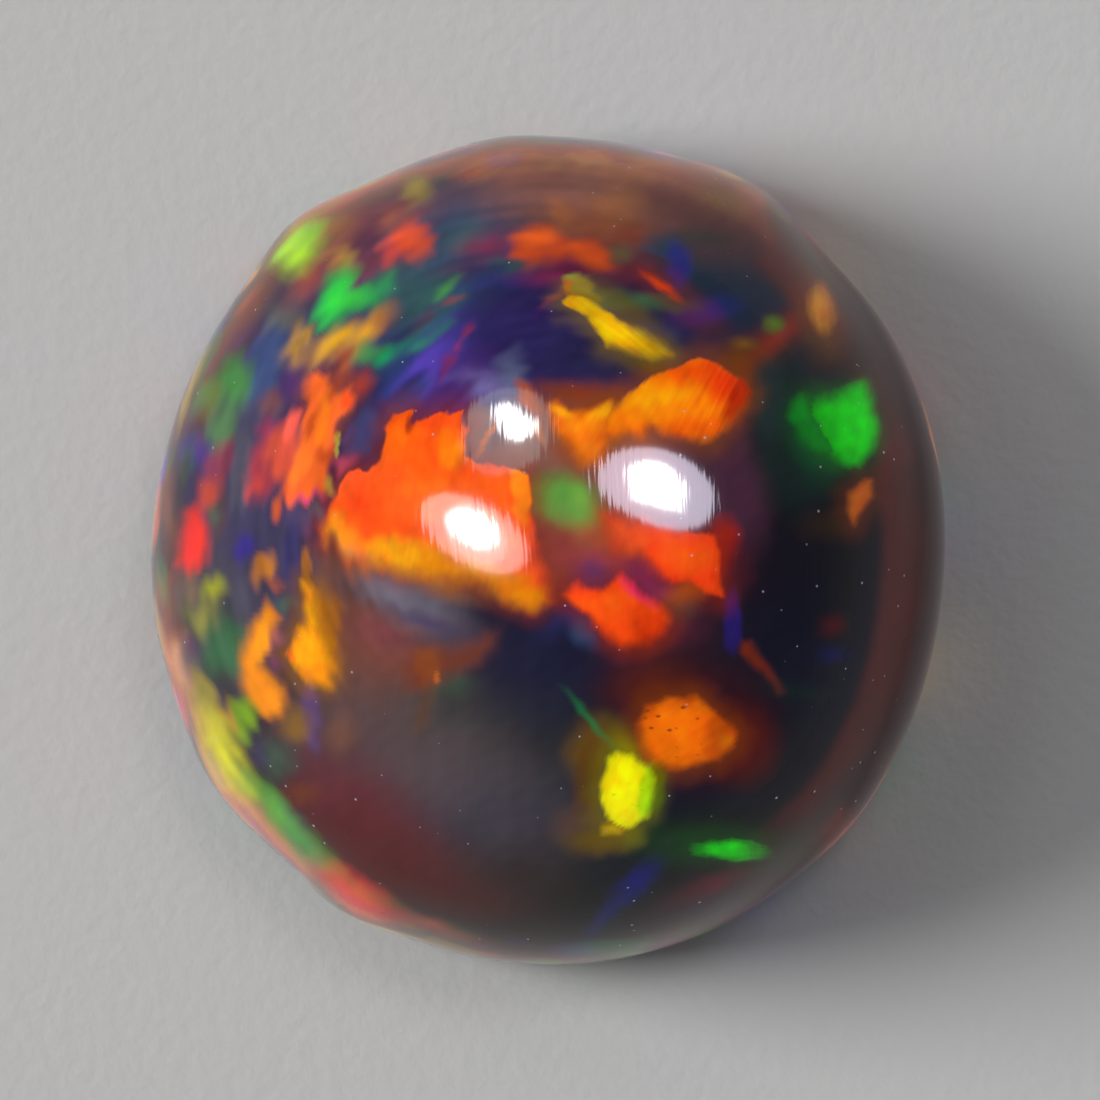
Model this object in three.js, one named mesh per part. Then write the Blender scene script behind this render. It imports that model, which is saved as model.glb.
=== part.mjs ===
// A smoked opal cabochon: one polished stone with a high dome, lying on its flat back.
//
// Millimetres, +Z up. The origin is the middle of the flat back, on the surface it lies on.
// +Z points out of the dome. +Y and +X are the stone's long and short ways across.
//
// The outline is a hand-ground oval: a lapidary turns the stone against a flat lap, which
// leaves soft corners between short flats. The dome is a little fuller than half an ellipsoid
// and leans to one side. The lower edge rolls under to the flat back, which was ground a little
// to the other side, so the roll is wider on one side than on the other.

import * as THREE from "three";

// Driving dimensions, in millimetres
const WIDTH = 9.9; // across X, before the corners
const LENGTH = 10.3; // along Y, before the corners
const HEIGHT = 6.0; // from the back to the top of the dome
const GIRDLE_HEIGHT = 1.15; // where the stone is widest
const BACK_SHARE = 0.91; // the flat back's size as a share of the outline
const BACK_OFF = { x: -0.07, y: -0.09 }; // how far the flat back stands off the middle
const DOME_FULLNESS = 2.2; // 2 is an ellipsoid, more is squarer in the shoulder
const ROLL_FULLNESS = 2.1; // the same, for the edge that rolls under
const LEAN = { x: 0.65, y: -0.2 }; // how far the top of the dome stands off the middle
const LEAN_POWER = 1.6; // the lean grows with height to this power

// Soft corners and flats round the outline. Each has its angle from +X, its lift off the oval
// in millimetres and its half width in degrees.
const CORNERS = [
  { angle: 45, lift: -0.04, reach: 7 },
  { angle: 60, lift: 0.12, reach: 9 },
  { angle: 97, lift: 0.04, reach: 6 },
  { angle: 129, lift: 0.14, reach: 8 },
  { angle: 190, lift: 0.05, reach: 14 },
  { angle: 213, lift: 0.11, reach: 10 },
  { angle: 239, lift: 0.1, reach: 7 },
  { angle: 319, lift: 0.03, reach: 8 },
  { angle: 355, lift: -0.08, reach: 20 },
];
const CORNER_FADE = 3; // the corners soften towards the top, by the outline share to this power

// The polish left the dome very slightly uneven: broad shallow waves, by angle and height
const POLISH_WAVE = 0.012; // a share of the half width
const POLISH_TURNS = [
  { turns: 3, rise: 2.0, phase: 0.6 },
  { turns: 5, rise: -3.0, phase: 2.1 },
];

// How finely the stone is divided
const SPOKES = 96; // round the outline
const DOME_STEPS = 24; // from the girdle to the top
const ROLL_STEPS = 6; // from the back to the girdle

// The oval's radius at an angle, with its corners and flats, as a factor of the plain oval
function cornerFactor(angle) {
  const oval = 1 / Math.hypot(Math.cos(angle) / (WIDTH / 2), Math.sin(angle) / (LENGTH / 2));
  let lift = 0;
  for (const corner of CORNERS) {
    const away = THREE.MathUtils.radToDeg(angle) - corner.angle;
    const turned = THREE.MathUtils.euclideanModulo(away + 180, 360) - 180;
    lift += corner.lift * Math.exp(-((turned / corner.reach) ** 2));
  }
  return 1 + lift / oval;
}

// The polish's waves at an angle and a share of the dome's height. They die out at the top and
// below the girdle.
function polishFactor(angle, rise) {
  let wave = 0;
  for (const { turns, rise: climb, phase } of POLISH_TURNS) {
    wave += Math.sin(turns * angle + climb * rise + phase);
  }
  return 1 + POLISH_WAVE * wave * rise * (1 - rise);
}

// The stone's profile from the middle of the back to the top of the dome. x is the share of the
// outline and y the height.
function profile() {
  const points = [new THREE.Vector2(0, 0)];
  for (let i = 0; i <= ROLL_STEPS; i++) {
    const turn = (Math.PI / 2) * (i / ROLL_STEPS);
    const out = Math.sin(turn) ** (2 / ROLL_FULLNESS);
    const down = Math.cos(turn) ** (2 / ROLL_FULLNESS);
    points.push(
      new THREE.Vector2(BACK_SHARE + (1 - BACK_SHARE) * out, GIRDLE_HEIGHT * (1 - down)),
    );
  }
  for (let i = 1; i < DOME_STEPS; i++) {
    const turn = (Math.PI / 2) * (i / DOME_STEPS);
    const out = Math.cos(turn) ** (2 / DOME_FULLNESS);
    const up = Math.sin(turn) ** (2 / DOME_FULLNESS);
    points.push(new THREE.Vector2(out, GIRDLE_HEIGHT + (HEIGHT - GIRDLE_HEIGHT) * up));
  }
  points.push(new THREE.Vector2(0, HEIGHT));
  return points;
}

// The profile turned about the vertical, then each point moved out to the hand-ground oval and
// over with the dome's lean above the girdle and the back's shift below it
function stoneGeometry() {
  const geometry = new THREE.LatheGeometry(profile(), SPOKES);
  geometry.rotateX(Math.PI / 2);
  const place = geometry.getAttribute("position");
  for (let i = 0; i < place.count; i++) {
    const x = place.getX(i);
    const y = place.getY(i);
    const z = place.getZ(i);
    const share = Math.hypot(x, y);
    const angle = Math.atan2(y, x);
    const rise = Math.max(0, z - GIRDLE_HEIGHT) / (HEIGHT - GIRDLE_HEIGHT);
    const corner = 1 + (cornerFactor(angle) - 1) * share ** CORNER_FADE;
    const swell = corner * polishFactor(angle, rise);
    const over = rise ** LEAN_POWER;
    const under = Math.max(0, 1 - z / GIRDLE_HEIGHT);
    place.setXYZ(
      i,
      x * (WIDTH / 2) * swell + LEAN.x * over + BACK_OFF.x * under,
      y * (LENGTH / 2) * swell + LEAN.y * over + BACK_OFF.y * under,
      z,
    );
  }
  geometry.computeBoundingBox();
  const middle = geometry.boundingBox.getCenter(new THREE.Vector3());
  geometry.translate(-middle.x, -middle.y, 0);
  geometry.computeVertexNormals();
  return geometry;
}

// Smoke-treated opal: a near-black violet-brown body with a high polish
const opal = new THREE.MeshStandardMaterial({
  name: "smoked opal",
  color: 0x2a2136,
  roughness: 0.06,
  metalness: 0,
});

const cabochon = new THREE.Mesh(stoneGeometry(), opal);
cabochon.name = "cabochon";

const stone = new THREE.Group();
stone.add(cabochon);

export default stone;
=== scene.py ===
import bpy
import numpy as np
from mathutils import Matrix, Vector


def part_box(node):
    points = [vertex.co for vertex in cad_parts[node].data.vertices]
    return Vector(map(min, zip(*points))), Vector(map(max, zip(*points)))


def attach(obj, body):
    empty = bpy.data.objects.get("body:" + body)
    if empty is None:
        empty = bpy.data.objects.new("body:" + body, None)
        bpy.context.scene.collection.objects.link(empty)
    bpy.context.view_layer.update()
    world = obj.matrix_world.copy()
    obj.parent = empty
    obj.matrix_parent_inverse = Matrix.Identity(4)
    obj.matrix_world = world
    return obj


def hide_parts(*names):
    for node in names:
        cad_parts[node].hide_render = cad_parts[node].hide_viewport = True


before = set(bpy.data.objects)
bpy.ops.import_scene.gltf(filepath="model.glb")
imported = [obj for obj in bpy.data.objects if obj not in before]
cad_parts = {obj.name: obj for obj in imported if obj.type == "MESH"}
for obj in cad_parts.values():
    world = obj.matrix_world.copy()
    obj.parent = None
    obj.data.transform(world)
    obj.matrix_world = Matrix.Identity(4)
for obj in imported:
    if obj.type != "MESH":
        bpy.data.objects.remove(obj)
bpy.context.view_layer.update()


# The stone: one opal, ground by hand to a near round, domed and polished all over.
# It is a solid of its own glass-like silica. Its surface is worked out here from the same
# sizes as the CAD solid, only finer, so that it can carry the colour.

MM = 0.001  # m
WIDTH = 9.9  # mm across X, before the corners
LENGTH = 10.3  # mm along Y, before the corners
HEIGHT = 6.0  # mm from the back to the top of the dome
GIRDLE_HEIGHT = 1.15  # mm, where the stone is widest
BACK_SHARE = 0.91  # the flat back's size as a share of the outline
BACK_OFF = (-0.07, -0.09)  # mm that the flat back stands off the middle
DOME_FULLNESS = 2.2  # 2 is an ellipsoid, more is squarer in the shoulder
ROLL_FULLNESS = 2.1  # the same, for the edge that rolls under
PROFILE_STEPS = 4000  # fine points on each curve of the profile, before the rings are set
LEAN = (0.65, -0.20)  # mm that the top of the dome stands off the middle
LEAN_POWER = 1.6  # how late in its rise the dome leans over
CORNER_FADE = 3  # how soon the corners die away from the outline inwards
POLISH_WAVE = 0.012  # the polish's shallow waves, as a share of the radius
POLISH_TURNS = [(3, 2.0, 0.6), (5, -3.0, 2.1)]  # turns, climb and phase of each wave
CORNERS = [  # angle from +X in degrees, lift off the oval in mm, half width in degrees
    (45, -0.04, 7),
    (60, 0.12, 9),
    (97, 0.04, 6),
    (129, 0.14, 8),
    (190, 0.05, 14),
    (213, 0.11, 10),
    (239, 0.10, 7),
    (319, 0.03, 8),
    (355, -0.08, 20),
]

SPOKES = 440  # columns round the stone
BACK_ROWS = 20  # rings on the flat back
ROLL_ROWS = 24  # rings on the rolled edge
DOME_ROWS = 174  # rings from the girdle to the top
FLANK_WEIGHT = 0.3  # how much a millimetre of height counts beside one across, in the rings
BOX_ROOM = 0.001  # mm that the surface stays short of the CAD box


def oval_radius(angle):
    """The plain oval's radius: that of an ellipse with half axes of half the width and length."""
    return 1 / np.hypot(np.cos(angle) / (WIDTH / 2), np.sin(angle) / (LENGTH / 2))


def corner_factor(angle):
    """One, plus every corner's lift over the oval's radius, as a bell curve about its angle."""
    lift = np.zeros_like(angle)
    for at, height, reach in CORNERS:
        turned = (np.degrees(angle) - at + 180) % 360 - 180
        lift += height * np.exp(-((turned / reach) ** 2))
    return 1 + lift / oval_radius(angle)


def stone_profile():
    """Share of the outline and height, from the middle of the back to the top of the dome.

    The roll and the dome are quarters of superellipses. Their fine points are drawn again so
    that the rings stand evenly, counting height at FLANK_WEIGHT of what width counts.
    """
    quarter = np.linspace(0, np.pi / 2, PROFILE_STEPS)
    roll = (
        BACK_SHARE + (1 - BACK_SHARE) * np.sin(quarter) ** (2 / ROLL_FULLNESS),
        GIRDLE_HEIGHT * (1 - np.cos(quarter) ** (2 / ROLL_FULLNESS)),
    )
    dome = (
        np.cos(quarter) ** (2 / DOME_FULLNESS),
        GIRDLE_HEIGHT + (HEIGHT - GIRDLE_HEIGHT) * np.sin(quarter) ** (2 / DOME_FULLNESS),
    )
    share = [np.linspace(0, BACK_SHARE, BACK_ROWS, endpoint=False)]
    height = [np.zeros(BACK_ROWS)]
    for (out, up), rows in ((roll, ROLL_ROWS), (dome, DOME_ROWS)):
        step = np.abs(np.diff(out)) * WIDTH / 2 + FLANK_WEIGHT * np.abs(np.diff(up))
        walked = np.append(0, np.cumsum(step))
        stops = np.linspace(0, walked[-1], rows + 1)[:-1]
        share.append(np.interp(stops, walked, out))
        height.append(np.interp(stops, walked, up))
    share = np.append(np.concatenate(share), 0.0)
    height = np.append(np.concatenate(height), HEIGHT)
    return share, height


def stone_points():
    """The profile turned about the vertical, then moved out to the hand-ground oval.

    Corners fade towards the middle, and the polish's waves are sines of angle and rise. The
    lean moves each ring over with its rise to LEAN_POWER, and the back's shift those below the
    girdle with their depth under it. All in mm, about the box's middle.
    """
    share, height = (values[:, None] for values in stone_profile())
    angle = np.linspace(0, 2 * np.pi, SPOKES, endpoint=False)[None, :]
    rise = np.clip((height - GIRDLE_HEIGHT) / (HEIGHT - GIRDLE_HEIGHT), 0, 1)
    wave = sum(np.sin(turns * angle + climb * rise + phase) for turns, climb, phase in POLISH_TURNS)
    swell = 1 + (corner_factor(angle) - 1) * share**CORNER_FADE
    swell = swell * (1 + POLISH_WAVE * wave * rise * (1 - rise))
    over = rise**LEAN_POWER
    under = np.clip(1 - height / GIRDLE_HEIGHT, 0, 1)
    x = share * np.cos(angle) * (WIDTH / 2) * swell + LEAN[0] * over + BACK_OFF[0] * under
    y = share * np.sin(angle) * (LENGTH / 2) * swell + LEAN[1] * over + BACK_OFF[1] * under
    points = np.stack([x, y, height + 0 * x], axis=-1)
    middle = (points.min((0, 1)) + points.max((0, 1))) / 2
    return points - [middle[0], middle[1], 0]


def closed_faces(rows, columns):
    """Quads between neighbouring rings, and a fan of triangles at either pole.

    The first and the last ring have shrunk to one point each, so those are single vertices.
    """
    ring = np.arange(columns)
    after = (ring + 1) % columns
    low = 1 + columns * np.arange(rows - 3)[:, None]
    quads = np.stack([low + ring, low + after, low + columns + after, low + columns + ring], -1)
    top = 1 + columns * (rows - 3)
    back = np.stack([0 * ring, 1 + after, 1 + ring], -1)
    crown = np.stack([top + ring, top + after, 0 * ring + top + columns], -1)
    return back.tolist() + quads.reshape(-1, 4).tolist() + crown.tolist()


grid = stone_points()
rows = grid.shape[0]
points = np.concatenate([grid[:1, 0], grid[1:-1].reshape(-1, 3), grid[-1:, 0]])

# The CAD solid has fewer columns, so its box is a few microns smaller. This one stays inside it.
lowest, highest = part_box("cabochon")
for axis in (0, 1):
    low, high = points[:, axis].min(), points[:, axis].max()
    room = (highest[axis] - lowest[axis]) / MM - BOX_ROOM
    middle = (highest[axis] + lowest[axis]) / 2 / MM
    points[:, axis] = middle + (points[:, axis] - (low + high) / 2) * room / (high - low)

stone_mesh = bpy.data.meshes.new("opal")
stone_mesh.from_pydata(points * MM, [], closed_faces(rows, SPOKES))
stone_mesh.shade_smooth()
stone = bpy.data.objects.new("opal", stone_mesh)
bpy.context.scene.collection.objects.link(stone)
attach(stone, "root")
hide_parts("cabochon")


# The colour in the stone: sheets of silica balls inside the opal split white light, and each
# sheet shows one pure colour. They are grown in, not painted, and lie at every depth.
# Each is laid out here one by one, in mm as seen from above the dome, and kept on the surface.

CAMERA_HEIGHT = 270.0  # mm above the surface that the stone lies on

nearer = CAMERA_HEIGHT / (CAMERA_HEIGHT - points[:, 2])
seen_x = points[:, 0] * nearer
seen_y = points[:, 1] * nearer
seen_angle = np.arctan2(seen_y, seen_x)
girdle_x, girdle_y = grid[BACK_ROWS + ROLL_ROWS, :, :2].T


def outline(angle):
    """The radius at the stone's widest, in mm, at these angles."""
    around = np.arctan2(girdle_y, girdle_x)
    order = np.argsort(around)
    return np.interp(angle, around[order], np.hypot(girdle_x, girdle_y)[order], period=2 * np.pi)


inset = outline(seen_angle) - np.hypot(seen_x, seen_y)


def linear(hex_colour):
    """An sRGB hex colour as three linear numbers."""
    srgb = np.array([int(hex_colour[i : i + 2], 16) for i in (1, 3, 5)]) / 255
    return np.where(srgb <= 0.04045, srgb / 12.92, ((srgb + 0.055) / 1.055) ** 2.4)


def soft_step(depth, edge):
    """0 below minus the edge, 1 above the edge and an S curve between."""
    share = np.clip(depth / edge / 2 + 0.5, 0, 1)
    return share * share * (3 - 2 * share)


def wander(x, y, size, seed):
    """A smooth number from about -1 to 1 at each place: sines of 11 random waves, added up."""
    rng = np.random.default_rng(seed)
    total = np.zeros_like(x)
    for turn, phase, stretch in rng.uniform(0, 1, (11, 3)):
        wave = 2 * np.pi / (size * (0.5 + 2.0 * stretch))
        total += np.sin(
            wave * (x * np.cos(2 * np.pi * turn) + y * np.sin(2 * np.pi * turn)) + 7 * phase
        )
    return total / 3.3


# Edges of real sheets are torn, so every place is looked up a little to one side. Each tear has
# its size and its reach in mm.
straight_x, straight_y = seen_x.copy(), seen_y.copy()
for tear_size, tear in ((1.1, 0.02), (0.42, 0.016), (0.17, 0.008)):
    seed = int(tear_size * 100)
    seen_x = seen_x + tear * wander(straight_x, straight_y, tear_size, seed)
    seen_y = seen_y + tear * wander(straight_x, straight_y, tear_size, seed + 1)

# Towards the upper left they are drawn out along the rim as well, like brush strokes: waves
# that are short across the rim and long along it
STROKE_REACH = 0.05  # mm
STROKE_RADIUS = 4.0  # mm, where the waves along the rim have their true length
round_about = np.arctan2(-straight_y, -straight_x) * STROKE_RADIUS
out_from = np.hypot(straight_x, straight_y)
strokes = wander(out_from * 5, round_about, 1.2, 51)
strokes = strokes + 0.6 * wander(out_from * 11, round_about, 1.3, 52)
upper_left = soft_step(0.6 * straight_y - 0.8 * straight_x - 1.1, 0.8)
strokes = strokes * upper_left * soft_step(out_from - 1.9, 0.6)
stroke_push = STROKE_REACH * strokes / np.maximum(out_from, 0.1)
seen_x = seen_x + stroke_push * straight_y
seen_y = seen_y - stroke_push * straight_x


def shard(corners):
    """How far inside a patch with these corners each point is, in mm, and less than 0 outside.

    That is the distance to the nearest side. A point is inside if a line from it to the left
    crosses an odd number of sides.
    """
    nearest = np.full(seen_x.shape, np.inf)
    inside = np.zeros(seen_x.shape, bool)
    for (ax, ay), (bx, by) in zip(corners, corners[1:] + corners[:1]):
        side_x, side_y = bx - ax, by - ay
        along = (seen_x - ax) * side_x + (seen_y - ay) * side_y
        along = np.clip(along / (side_x**2 + side_y**2), 0, 1)
        away = np.hypot(seen_x - ax - along * side_x, seen_y - ay - along * side_y)
        nearest = np.minimum(nearest, away)
        if side_y:
            crossing = ax + (seen_y - ay) * side_x / side_y
            inside ^= ((ay > seen_y) != (by > seen_y)) & (seen_x < crossing)
    return np.where(inside, nearest, -nearest)


def lens(middle, half_long, half_wide, turn=0):
    """How far inside an ellipse each point is: what is left of its half width, in mm."""
    turn = np.radians(turn)
    x, y = seen_x - middle[0], seen_y - middle[1]
    along = x * np.cos(turn) + y * np.sin(turn)
    across = y * np.cos(turn) - x * np.sin(turn)
    return (1 - np.hypot(along / half_long, across / half_wide)) * half_wide


BAND_RADIUS = 4.5  # mm from the middle, where a band's ends are measured
BAND_OUTSIDE = 1.0  # mm that a band goes on past the outline


def band(start, end, inner):
    """How far inside a band along the rim: between two angles in degrees, and up to an inset."""
    half = (end - start) / 2
    turned = (np.degrees(seen_angle) - start - half + 180) % 360 - 180
    sideways = (half - np.abs(turned)) * np.pi / 180 * BAND_RADIUS
    return np.minimum(np.minimum(inner - inset, inset + BAND_OUTSIDE), sideways)


haze_colour = np.tile(linear("#191528"), (len(points), 1))
haze = np.zeros(len(points))


CLOUD_INSET = 0.015  # mm that a cloud is drawn in
CLOUD_SOFTNESS = 1.3  # how much softer than asked for all clouds are


def cloud(hex_colour, depth, edge, strength=1.0):
    """Lays a soft colour over what lies below it, as light through it would show both."""
    global haze_colour, haze
    cover = strength * soft_step(depth - CLOUD_INSET, CLOUD_SOFTNESS * edge)
    haze_colour = haze_colour * (1 - cover[:, None]) + linear(hex_colour) * cover[:, None]
    haze = haze * (1 - cover) + cover


def spot(hex_colour, x, y, half_long, half_wide, turn, edge, strength=1.0):
    """A cloud in the shape of an ellipse."""
    cloud(hex_colour, lens((x, y), half_long, half_wide, turn), edge, strength)


NO_SHEET = -30.0  # the cover where there is no sheet, in edge widths
GLOW_REACH = 0.14  # mm that a sheet's light spreads to beside it
GLOW_LEVEL = 0.3  # how bright the spread light is beside the sheet
EDGE_LIGHT = 0.7  # how bright a sheet is along its edge, beside its middle
SHEETS_APART = 3.7  # mm between two sheets in the pattern of the streaks
sheet_colour = np.zeros((len(points), 3))
sheet_cover = np.full(len(points), NO_SHEET)
sheet_grain = np.zeros((len(points), 3))
sheet_streak = np.zeros(len(points))
sheet_edge = np.full(len(points), 0.1)
sheets = 0


def fading(direction, middle, crisp, soft):
    """An edge width that grows from crisp to soft, in mm, over 1 mm about the middle."""
    turn = np.radians(direction)
    along = (seen_x - middle[0]) * np.cos(turn) + (seen_y - middle[1]) * np.sin(turn)
    return crisp + (soft - crisp) * soft_step(along, 0.5)


def sheet(hex_colour, depth, edge=0.025, grain=0, streak=0.15, glow=0.5):
    """A sheet of one colour with a torn edge. Each point keeps the sheet it is deepest in.

    grain is the direction of its fine streaks in degrees, and streak how strong they are. A
    sheet is dimmer near its edge, and its light also spreads a little in the milky stone, as a
    glow of the same colour. Its number sets its streaks apart from those of the others.
    """
    global sheets, haze_colour
    sheets += 1
    spread = glow * soft_step(depth + GLOW_REACH, 0.2)[:, None]
    haze_colour = haze_colour * (1 - spread) + GLOW_LEVEL * linear(hex_colour) * spread
    cover = depth / edge
    deepest = cover > sheet_cover
    turn = np.radians(grain)
    along = straight_x * np.cos(turn) + straight_y * np.sin(turn)
    across = straight_y * np.cos(turn) - straight_x * np.sin(turn)
    sheet_cover[deepest] = cover[deepest]
    bright = EDGE_LIGHT + (1 - EDGE_LIGHT) * soft_step(depth - 0.07, 0.12)[:, None]
    sheet_colour[deepest] = (linear(hex_colour) * bright)[deepest]
    sheet_streak[deepest] = np.broadcast_to(streak, depth.shape)[deepest]
    sheet_edge[deepest] = np.broadcast_to(edge, depth.shape)[deepest]
    sheet_grain[deepest] = np.stack([along, across, 0 * along + SHEETS_APART * sheets], -1)[deepest]


def blush(hex_colour, depth, edge, strength=1.0):
    """Turns the sheets that are there towards another colour, softly."""
    cover = (strength * soft_step(depth, edge))[:, None]
    sheet_colour[:] = sheet_colour * (1 - cover) + linear(hex_colour) * cover


def tint(hex_colour, x, y, half_long, half_wide, turn, edge, strength):
    """A blush in the shape of an ellipse."""
    blush(hex_colour, lens((x, y), half_long, half_wide, turn), edge, strength)


# The body: smoke-darkened opal, near black and violet in the middle and browner to the lower
# left. Where it is thick it swallows the light, so its own faint haze is all that shows.

spot("#1e1a2e", 0.03, 0, 6.5, 6.5, 0, 0.5)
spot("#2c2650", -0.09, 1.5, 2.9, 2.1, 0, 1.2, 0.9)
spot("#2c2458", -0.34, 2.56, 1.9, 0.75, -8, 0.6, 0.9)
spot("#272444", 0.91, 2.31, 0.9, 0.5, 0, 0.4, 0.7)
spot("#3f2a38", 2.34, 1, 0.5, 1.2, 0, 0.4, 0.85)
spot("#1d1a24", 3.16, -0.25, 1.3, 2.4, 0, 0.7, 0.95)
spot("#4e2c40", 2.38, 0.81, 0.4, 1, 0, 0.4, 0.85)
spot("#2a1b28", 2.47, -0.5, 0.4, 0.6, 0, 0.4, 0.6)
spot("#171a2c", 3.03, -1.88, 1.2, 1.3, 0, 0.6, 0.9)
spot("#161c38", -0.34, -1.25, 1.3, 0.9, 0, 0.6, 0.9)
spot("#272330", 1.41, -1.38, 1.2, 0.4, 0, 0.4, 0.8)
spot("#063044", 2.31, 3.31, 1, 0.8, -20, 0.35, 0.95)
spot("#25283f", 1.91, 2.75, 1, 0.3, 8, 0.3, 0.85)
spot("#262b2d", -0.16, -2.44, 0.9, 0.8, -20, 0.5, 0.9)
spot("#5c4640", -1.91, -1.88, 1.5, 1, -20, 0.7, 0.95)
spot("#70453c", -2.22, -1.25, 1, 0.7, -20, 0.5, 0.9)
spot("#333a38", -1.16, -1.94, 0.6, 0.4, 0, 0.35, 0.8)
spot("#544c50", -1.47, -2.81, 1.3, 0.7, -20, 0.6, 0.9)
spot("#46424e", -0.47, -3.5, 1.2, 0.55, 0, 0.5, 0.85)
spot("#5a4347", -2.47, -2.62, 0.9, 0.5, -30, 0.5, 0.85)
spot("#4a3a36", -0.59, -4.44, 1.5, 0.6, -5, 0.5, 0.9)
spot("#67323a", -2.47, -3.31, 0.9, 0.5, -38, 0.4, 0.95)
spot("#5c2c2e", -2.03, -3.75, 1, 0.45, -38, 0.4, 0.85)
spot("#56302f", -1.47, -4.19, 0.9, 0.3, -25, 0.35, 0.8)
spot("#33302e", 0.41, -4.25, 0.9, 0.6, 0, 0.5, 0.7)
spot("#1b262b", 1.28, -4.12, 0.8, 0.6, 20, 0.4, 0.9)
spot("#3a1c2a", 2.41, -4.25, 1.2, 0.45, 30, 0.35, 0.85)
spot("#221e2e", 1.91, -3.12, 0.9, 0.4, 0, 0.4, 0.8)
spot("#22425c", -1.16, 4.31, 1, 0.6, 0, 0.5, 0.95)
spot("#2f4468", -1.28, 3.81, 0.7, 0.5, 20, 0.4, 0.8)
spot("#3f3e60", -2.47, 3.12, 1.9, 0.9, 48, 0.6, 0.75)
spot("#2f4262", -1.47, 3.25, 0.9, 0.4, 45, 0.4, 0.7)
spot("#4b4560", -4.03, 1.5, 0.6, 1.9, -18, 0.4, 0.85)
spot("#45395e", -3.66, 2.75, 0.4, 0.9, -30, 0.3, 0.85)
spot("#45405c", -3.66, 0.12, 0.8, 1.2, -6, 0.5, 0.8)
spot("#4f4a50", -4.16, -1.12, 0.6, 1.2, 12, 0.4, 0.8)

# The rim: the stone is thin there, so light comes through it warm, brown and pink. This is partly
# painted light: the brown is the smoke's own colour where the stone is thin, and its brightness is
# painted, lighter and pinker at the top and the lower left, where more light reaches the rim, and
# dark brown on the right, where little does.
spot("#704a44", 1.16, 4.59, 2.2, 0.7, -8, 0.4, 0.95)
spot("#8c5a4e", 0.53, 4.55, 1.2, 0.4, -4, 0.35, 0.8)
spot("#4c3033", 1.97, 4.1, 1, 0.4, -30, 0.4, 0.8)
cloud("#582a2a", band(-54, 54, 0.72), 0.12, 0.97)
cloud("#4c2522", band(-60, 14, 0.68), 0.1, 0.85)
cloud("#4a2a26", band(-12, 52, 0.14), 0.12, 0.85)
cloud("#683c2a", band(46, 76, 0.45), 0.3, 0.8)
cloud("#b4764a", band(56, 100, 0.3), 0.2, 0.8)
cloud("#b07448", band(92, 130, 0.2), 0.14, 0.85)
cloud("#8c5a3e", band(128, 158, 0.3), 0.2, 0.9)
cloud("#7a4634", band(156, 186, 0.3), 0.2, 0.9)
cloud("#a4684e", band(184, 200, 0.24), 0.18, 0.9)
cloud("#e4a488", band(194, 236, 0.26), 0.18, 0.95)
cloud("#7c4a44", band(234, 262, 0.18), 0.14, 0.9)
cloud("#6c3e34", band(256, 290, 0.18), 0.14, 0.85)
cloud("#5c3028", band(285, 330, 0.14), 0.12, 0.85)
spot("#a47048", 1.01, 4.94, 0.75, 0.2, -8, 0.16, 0.7)
spot("#a0764e", -0.84, 4.97, 0.5, 0.15, 12, 0.14, 0.7)

# Soft flashes, deep in the stone and out of focus. The upper left first.
spot("#a08444", -2.71, 4.05, 0.26, 0.2, 30, 0.18, 0.85)
spot("#a0563c", -2.04, 4.14, 0.5, 0.2, 15, 0.2, 0.85)
spot("#8a4f44", -2.47, 3.77, 0.4, 0.3, 30, 0.22, 0.75)
spot("#55304a", -2.27, 3.77, 0.2, 0.38, -15, 0.16, 0.85)
spot("#7a3a48", -2.12, 3.6, 0.3, 0.14, 10, 0.14, 0.8)
spot("#b48440", -2.59, 3.65, 0.15, 0.13, 20, 0.1, 0.9)
spot("#9a4a40", -3.02, 3.38, 0.36, 0.16, 55, 0.12, 0.95)
spot("#4c4a52", -3.28, 3.02, 0.25, 0.35, -20, 0.2, 0.6)
spot("#8a6a3c", -3.57, 3.38, 0.4, 0.12, 55, 0.14, 0.7)
spot("#a4d82a", -3.13, 3.84, 0.38, 0.27, 52, 0.14)
spot("#bcec20", -3.22, 3.79, 0.2, 0.2, 52, 0.14, 0.9)
cloud("#dc4c2c", shard([(-2.02, 3.73), (-1.94, 3.91), (-1.79, 4.04), (-1.63, 4.08), (-1.49, 3.94),
      (-1.48, 3.73), (-1.59, 3.59), (-1.72, 3.59), (-1.86, 3.66), (-1.97, 3.58)]), 0.11, 1)
spot("#ec5a30", -1.68, 3.88, 0.14, 0.12, 0, 0.12, 0.8)
spot("#c24444", -1.97, 3.73, 0.1, 0.12, 0, 0.1, 0.8)
spot("#355a50", -1.78, 3.25, 0.5, 0.25, 30, 0.2, 0.6)
cloud("#2c9a50", shard([(-2.92, 2.83), (-2.84, 3.1), (-2.69, 3.4), (-2.52, 3.42), (-2.42, 3.27),
      (-2.24, 3.27), (-1.93, 3.45), (-1.89, 3.3), (-2.14, 3.09), (-2.44, 3.01), (-2.62, 2.9),
      (-2.79, 2.77)]), 0.13, 0.95)
spot("#30d844", -2.63, 3.17, 0.3, 0.15, 68, 0.13, 0.95)
spot("#3cc83c", -2.44, 3.15, 0.2, 0.12, 10, 0.12, 0.8)
spot("#7a7c5c", -3.34, 2.9, 0.2, 0.14, 0, 0.12, 0.4)
spot("#bc8c3c", -3.09, 2.67, 0.15, 0.13, 60, 0.1, 0.95)
spot("#cc942c", -3.23, 2.41, 0.16, 0.13, 60, 0.1, 0.95)
spot("#f6b41c", -2.66, 2.6, 0.31, 0.12, 32, 0.09)
spot("#f0a61c", -2.28, 2.7, 0.3, 0.1, 52, 0.09, 0.95)
spot("#b06a28", -2.04, 2.9, 0.16, 0.09, 45, 0.1, 0.8)
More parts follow.
